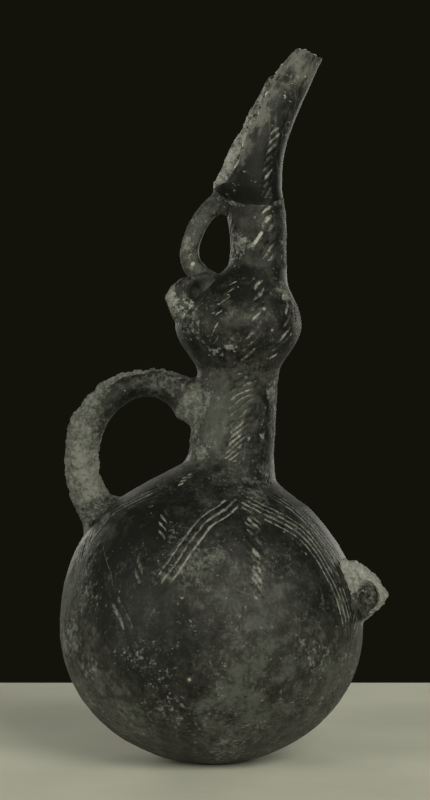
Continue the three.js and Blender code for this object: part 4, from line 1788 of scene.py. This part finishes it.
def luted(skin: Skin, form: JugForm, spread: Array, sink: float) -> Skin:
    """Smears the foot of a piece on to the wall, as a potter closes a joint with slip.

    Within a spread of the wall, each point moves out along the wall by spread times one less the root of one
    less the square of its nearness, which is the curve of a hollow round fillet. Its height over the wall is
    kept, but for the outer edge, which sinks in.

    Args:
        skin: the piece's surface.
        form: the jug that it stands on.
        spread: the fillet's radius at each point, in millimetres.
        sink: how deep the fillet's outer edge goes into the wall.

    Returns:
        The skin with its foot spread.
    """
    height = form.wall_distance(skin.points)
    nearness = 1 - np.clip(height / spread, 0, 1)
    growth = spread * (1 - np.sqrt(1 - nearness**2))
    wall_normal = form.wall_normal(skin.points)
    normals = skin.normals()
    along_wall = normals - (normals * wall_normal).sum(axis=1, keepdims=True) * wall_normal
    along_wall /= np.maximum(np.linalg.norm(along_wall, axis=1, keepdims=True), LEAST_SLOPE)
    moved = skin.points + growth[:, None] * along_wall
    wanted = height - sink * nearness**4
    drift = np.where(nearness > 0, form.wall_distance(moved) - wanted, 0.0)
    skin.points = moved - drift[:, None] * form.wall_normal(moved)
    return skin


@dataclass
class LoopHandle:
    """A loop handle: a roll of clay along a line in the plane of the beak, luted to the wall at both ends.

    Each station gives the line's x and z, and the roll's half-thickness in the plane and half-width across.
    """

    shop: Workshop
    node: str
    stations: tuple[Station, ...]
    spread: float
    crust: float
    haze: float
    rings: int
    sides: int
    unevenness: float = 1.0
    crust_contrast: float = 1.7
    crust_middle: float = 0.4
    spread_mean: float = 0.9
    spread_change: float = 0.35
    spread_size: float = 9.0
    sink: float = 0.5
    foot_relief: float = 0.3
    foot_height: float = 3.0
    span_samples: int = 24

    def build(self) -> bpy.types.Object:
        """Shapes and delivers the handle: an ellipse carried along the line, its feet spread.

        Returns:
            The piece.
        """
        form, touch = self.shop.form, self.shop.touch
        rail = evenly(through_points(np.array(self.stations, float), self.span_samples), self.rings)
        run, rise = np.gradient(rail[:, 0]), np.gradient(rail[:, 1])
        size = np.hypot(run, rise)
        turn = np.linspace(0, 2 * np.pi, self.sides, endpoint=False)[None]
        aside = (rail[:, 2:3] * np.cos(turn))[..., None]
        out = np.stack([-rise / size, np.zeros(self.rings), run / size], axis=1)[:, None]
        centre = np.stack([rail[:, 0], np.zeros(self.rings), rail[:, 1]], axis=1)[:, None]
        rings = centre + aside * out
        rings[..., 1] -= rail[:, 3:4] * np.sin(turn)
        points = np.vstack([rings.reshape(-1, 3), centre[0], centre[-1]])
        skin = capped(points, self.rings)
        uneven = self.spread_mean + self.spread_change * touch.shape_noise.at(points, self.spread_size)
        skin = luted(skin, form, self.spread * uneven, self.sink)
        skin.masks = self.shop.bare_masks(skin.points, self.crust, self.haze)
        contrast = self.crust_contrast * (skin.masks["crust"] - self.crust_middle)
        skin.masks["crust"] = np.clip(self.crust_middle + contrast, 0, 1)
        clear = smooth_step(0.0, self.foot_height, form.wall_distance(skin.points))
        relief = touch.relief(skin.points, skin.masks["crust"])
        relief = relief * (self.foot_relief + (1 - self.foot_relief) * clear)
        lift = self.unevenness * touch.unevenness(skin.points) + relief
        skin.points = skin.points + lift[:, None] * skin.normals()
        return self.shop.deliver(skin, self.node, Slot.HANDLE)


@dataclass
class Ear:
    """A pierced ear: a thick rounded tab standing out from the wall, its string-hole choked with earth.

    The outline gives distance from the local axis and height. The tab's section across its thickness is a
    rounded oblong, and a hollow is pressed into each face.
    """

    shop: Workshop
    node: str
    outline: tuple[Station, ...]
    thickness: float
    turn: float
    axis_x: float
    hollow_at: Station
    hollow_half: Station
    hollow_depth: float
    spread: float
    hollow_edge: Station = (0.7, 1.15)
    hollow_reach: float = 0.3
    hollow_spread: float = 0.7
    hollow_crust: float = 0.8
    # How much darker the hollow is painted: painted shade.
    hollow_painted_shade: float = 0.3
    squareness: float = 6.5
    chipping: float = 0.7
    chip_size: float = 6.5
    chip_shift: float = 91.0
    spread_mean: float = 0.9
    spread_change: float = 0.4
    spread_size: float = 8.0
    least_spread: float = 0.5
    sink: float = 0.5
    span_samples: int = 20
    section_samples: int = 400
    rows: int = 120
    columns: int = 170
    crust: float = 0.42
    haze: float = 0.3

    def _section(self, reach: float) -> Array:
        """Rounded oblong from one face over the edge to the other, as powers of a sine and a cosine.

        Args:
            reach: mean distance of the outline from its centre.

        Returns:
            Share of the outline and depth, row by row.
        """
        angle = np.linspace(0, np.pi, self.section_samples)
        power = 2 / self.squareness
        depth = np.sign(np.cos(angle)) * np.abs(np.cos(angle)) ** power
        section = np.stack([np.sin(angle) ** power * reach, depth * self.thickness / 2], axis=1)
        section = evenly(section, self.rows + 2)[1:-1]
        return section / [reach, 1.0]

    def build(self) -> bpy.types.Object:
        """Shapes and delivers the ear: rings shrink from the outline to the middle of each face.

        Returns:
            The piece.
        """
        form, touch = self.shop.form, self.shop.touch
        edge = through_points(np.array(self.outline, float), self.span_samples, closed=True)
        edge = evenly(np.vstack([edge, edge[:1]]), self.columns + 1)[:-1]
        centre = edge.mean(axis=0)
        section = self._section(np.linalg.norm(edge - centre, axis=1).mean())
        flat = centre + section[:, :1, None] * (edge - centre)
        local = np.vstack([flat.reshape(-1, 2), centre, centre])
        depth = np.repeat(section[:, 1], self.columns)
        depth = np.concatenate([depth, [self.thickness / 2, -self.thickness / 2]])
        away = np.hypot(*((local - self.hollow_at) / self.hollow_half).T)
        hollow = 1 - smooth_step(*self.hollow_edge, away)
        on_face = np.minimum(1, np.abs(depth) / (self.hollow_reach * self.thickness))
        depth -= np.sign(depth) * self.hollow_depth * hollow * on_face
        cosine, sine = np.cos(np.radians(self.turn)), np.sin(np.radians(self.turn))
        across = self.axis_x + local[:, 0] * cosine + depth * sine
        points = np.stack([across, -local[:, 0] * sine + depth * cosine, local[:, 1]], axis=1)
        skin = capped(points, self.rows)
        uneven = self.spread_mean + self.spread_change * touch.shape_noise.at(points, self.spread_size)
        spread = self.spread * uneven * (1 - self.hollow_spread * hollow)
        skin = luted(skin, form, np.maximum(spread, self.least_spread), self.sink)
        skin.masks = self.shop.bare_masks(skin.points, self.crust, self.haze)
        skin.masks["crust"] = skin.masks["crust"] * (1 - self.hollow_crust * hollow)
        # Painted shade: the pressed hollow's clay is darkened; the line above thins its crust.
        skin.masks["haze"] = skin.masks["haze"] - self.hollow_painted_shade * hollow
        lift = touch.unevenness(skin.points) + touch.relief(skin.points, skin.masks["crust"])
        lift += self.chipping * touch.shape_noise.at(skin.points + self.chip_shift, self.chip_size, layers=2)
        skin.points = skin.points + lift[:, None] * skin.normals()
        return self.shop.deliver(skin, self.node, Slot.EAR)


# The studio


@dataclass(frozen=True)
class SoftLight:
    """A large square lamp aimed at the jug."""

    name: str
    at: tuple[float, float, float]
    size: float
    power: float
    colour: Colour = (1.0, 1.0, 0.87)

    def build(self, target: Vector) -> None:
        """Makes the lamp and turns it to the target.

        Args:
            target: the point that it faces.
        """
        lamp = bpy.data.lights.new(self.name, "AREA")
        lamp.size = self.size
        lamp.energy = self.power
        lamp.color = self.colour
        made = bpy.data.objects.new(self.name, lamp)
        made.location = self.at
        made.rotation_euler = (target - Vector(self.at)).to_track_quat("-Z", "Y").to_euler()
        bpy.context.scene.collection.objects.link(made)


@dataclass
class Studio:
    """A pale table top, soft lamps, a dark surround and the camera."""

    aim: tuple[float, float, float] = (0.0021, 0.0, 0.2122)
    distance: float = 1.25
    pixels_per_mm: float = 1.69
    image_height: float = 800.0
    farthest: float = 20.0
    table_half_width: float = 0.75
    table_front: float = -0.75
    table_back: float = 0.335
    table_points: int = 9
    table_colour: Colour = (0.7, 0.695, 0.601)
    table_roughness: float = 0.85
    stain_shade: float = 0.91
    stain_range: Station = (0.35, 0.65)
    surround: Colour = (0.0065, 0.0065, 0.0036)
    ambient: Colour = (0.07, 0.07, 0.06)
    lights: tuple[SoftLight, ...] = (
        SoftLight("window_light", (1.0, -1.75, 1.05), 1.2, 31.5),
        SoftLight("left_fill", (-1.5, -1.3, 0.6), 1.2, 15.5),
        SoftLight("left_edge", (-1.0, 1.7, 0.6), 0.7, 9.0),
        SoftLight("right_edge", (1.1, 1.7, 0.45), 0.7, 8.5),
    )

    def build(self) -> None:
        """Sets up everything round the jug."""
        target = Vector(self.aim)
        for light in self.lights:
            light.build(target)
        self._table()
        self._surround()
        self._camera(target)
        bpy.context.scene.view_settings.view_transform = "Standard"

    def _table(self) -> None:
        """A level sheet under the jug with a matt plaster finish."""
        count = self.table_points
        columns = np.linspace(-self.table_half_width, self.table_half_width, count) / MM
        rows = np.linspace(self.table_front, self.table_back, count) / MM
        across, depth = np.meshgrid(columns, rows)
        points = np.stack([across, depth, np.zeros_like(across)], axis=-1).reshape(-1, 3)
        grid = np.arange(len(points)).reshape(count, count)
        table = Skin(points, grid_quads(grid)).to_object("table_top")
        made = bpy.data.materials.new("table_plaster")
        made.use_nodes = True
        sheet = NodeSheet(made.node_tree)
        place = sheet.put("ShaderNodeTexCoord").outputs["Object"]
        stain = sheet.noise(place, scale=9.0, detail=4.0, roughness=0.55)
        stained = tuple(self.stain_shade * part for part in self.table_colour)
        colour = sheet.blend(sheet.ease(stain, *self.stain_range), stained, self.table_colour)
        plaster = made.node_tree.nodes["Principled BSDF"]
        sheet.feed(plaster.inputs["Base Color"], colour)
        sheet.feed(plaster.inputs["Roughness"], self.table_roughness)
        table.data.materials.append(made)

    def _surround(self) -> None:
        """A dark surround to look at and a soft even light from all round."""
        world = bpy.data.worlds.new("surround")
        bpy.context.scene.world = world
        world.use_nodes = True
        world.node_tree.nodes.clear()
        sheet = NodeSheet(world.node_tree)
        seen = sheet.put("ShaderNodeLightPath").outputs["Is Camera Ray"]
        colour = sheet.blend(seen, self.ambient, self.surround)
        glow = sheet.fed("ShaderNodeBackground", {"Color": colour})[0]
        sheet.fed("ShaderNodeOutputWorld", {"Surface": glow})

    def _camera(self, target: Vector) -> None:
        """The camera, level with the middle of the jug and looking along +Y.

        Args:
            target: the point in the middle of the picture.
        """
        lens = bpy.data.cameras.new("camera")
        lens.sensor_fit = "VERTICAL"
        focal_pixels = self.pixels_per_mm * self.distance / MM
        lens.angle = 2 * np.arctan(self.image_height / 2 / focal_pixels)
        lens.clip_end = self.farthest
        made = bpy.data.objects.new("camera", lens)
        made.location = target - Vector((0.0, self.distance, 0.0))
        made.rotation_euler = (np.pi / 2, 0.0, 0.0)
        bpy.context.scene.collection.objects.link(made)
        bpy.context.scene.camera = made


def finishes() -> list[ClayFinish]:
    """The clay of each slot.

    Returns:
        One finish for each slot.
    """
    return [
        ClayFinish(Slot.BODY, scuffs=0.75, lime=(0.205, 0.209, 0.187)),
        ClayFinish(Slot.NECK, middle=(0.038, 0.0388, 0.031), fill=(0.33, 0.336, 0.295), clouds=34.0),
        ClayFinish(Slot.BULB, middle=(0.0275, 0.028, 0.022), fill=(0.38, 0.386, 0.34), clouds=34.0),
        ClayFinish(
            Slot.BEAK, pale=(0.137, 0.139, 0.119), lime=(0.54, 0.545, 0.5), fill=(0.33, 0.336, 0.295),
            clouds=36.0, drawn_out=2.8, lean=25.0, speck_density=0.3, shine=0.2,
        ),
        ClayFinish(Slot.HANDLE, clouds=40.0, lime=(0.21, 0.214, 0.188), stained=(0.066, 0.068, 0.058)),
        ClayFinish(
            Slot.EAR, lime=(0.37, 0.376, 0.338), stained=(0.175, 0.179, 0.158), clouds=44.0, burnished=0.6
        ),
    ]


def handles(shop: Workshop) -> list[LoopHandle]:
    """The two loop handles.

    Args:
        shop: what the pieces are made with.

    Returns:
        The handles, ready to build.
    """
    large = (
        (-6, 210.5, 14, 13), (-13, 213.5, 12.2, 11.6), (-22, 218.4, 9.4, 10.2), (-33, 221.8, 8, 9.6),
        (-47, 220.7, 8, 9.6), (-59.6, 214.2, 8.8, 10.2), (-68.5, 205.2, 9.3, 10.4), (-74.3, 194, 9.5, 10.4),
        (-77.1, 181, 9.6, 10.4), (-76, 167, 9.8, 10.4), (-72, 155, 10.4, 11), (-65.2, 144, 12.4, 13),
        (-61.5, 139, 13.6, 14.4),
    )
    small = (
        (9, 329.6, 7.4, 7.4), (3, 327.6, 6.5, 6.8), (-2, 323.8, 5.5, 6), (-7.2, 316.8, 5.4, 5.6),
        (-11, 308.6, 5.4, 5.5), (-12.9, 300.6, 5.4, 5.6), (-11.8, 293, 5.6, 5.8), (-7, 286.2, 6.3, 6.2),
        (-2.4, 281.2, 8, 7.2), (1.4, 277.2, 9, 8),
    )
    return [
        LoopHandle(shop, "large_handle", large, spread=5.0, crust=0.4, haze=0.2, rings=320, sides=104),
        LoopHandle(
            shop, "small_handle", small, spread=3.2, crust=0.26, haze=0.8, rings=220, sides=72,
            unevenness=0.6, crust_contrast=1.0,
        ),
    ]


def ears(shop: Workshop) -> list[Ear]:
    """The ear on the belly and the ear on the bulb.

    Args:
        shop: what the pieces are made with.

    Returns:
        The ears, ready to build.
    """
    belly = (
        (78, 115), (88.6, 116.4), (95.6, 111.4), (101, 105), (104.9, 99.4), (103, 95), (96, 88.4),
        (90.2, 84), (80, 79),
    )
    bulb = ((20, 284.4), (37, 283.8), (46, 275.4), (46.2, 268), (41.4, 260), (30, 254))
    bulb_hollow = (31, 275)
    bulb_axis = float(shop.form.axis(bulb_hollow[1]))
    return [
        Ear(
            shop, "body_ear", belly, thickness=17, turn=15, axis_x=0, hollow_at=(95.4, 98.6),
            hollow_half=(6.2, 8.8), hollow_depth=4.4, spread=3.2, crust=0.72,
        ),
        Ear(
            shop, "bulb_ear", bulb, thickness=13, turn=164, axis_x=bulb_axis, hollow_at=bulb_hollow,
            hollow_half=(5.5, 7), hollow_depth=3.6, hollow_edge=(0.3, 1.25), spread=2.4, crust=0.06,
        ),
    ]


def main() -> None:
    """Builds every piece of the jug in order, then the studio."""
    logging.basicConfig(level=logging.INFO, format="%(message)s")
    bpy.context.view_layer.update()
    form = JugForm()
    effects = ClayEffects()
    materials = {finish.slot: finish.material(effects) for finish in finishes()}
    shop = Workshop(form, HandTouch(form), Ornament(form), materials)
    pieces = [*Wall(shop).build(), SocketNeck(shop).build(), Beak(shop).build()]
    pieces += [handle.build() for handle in handles(shop)]
    pieces += [ear.build() for ear in ears(shop)]
    for piece in pieces:
        LOG.info("%s: %d points, %d faces", piece.name, len(piece.data.vertices), len(piece.data.polygons))
    Studio().build()


if __name__ == "__main__":
    main()
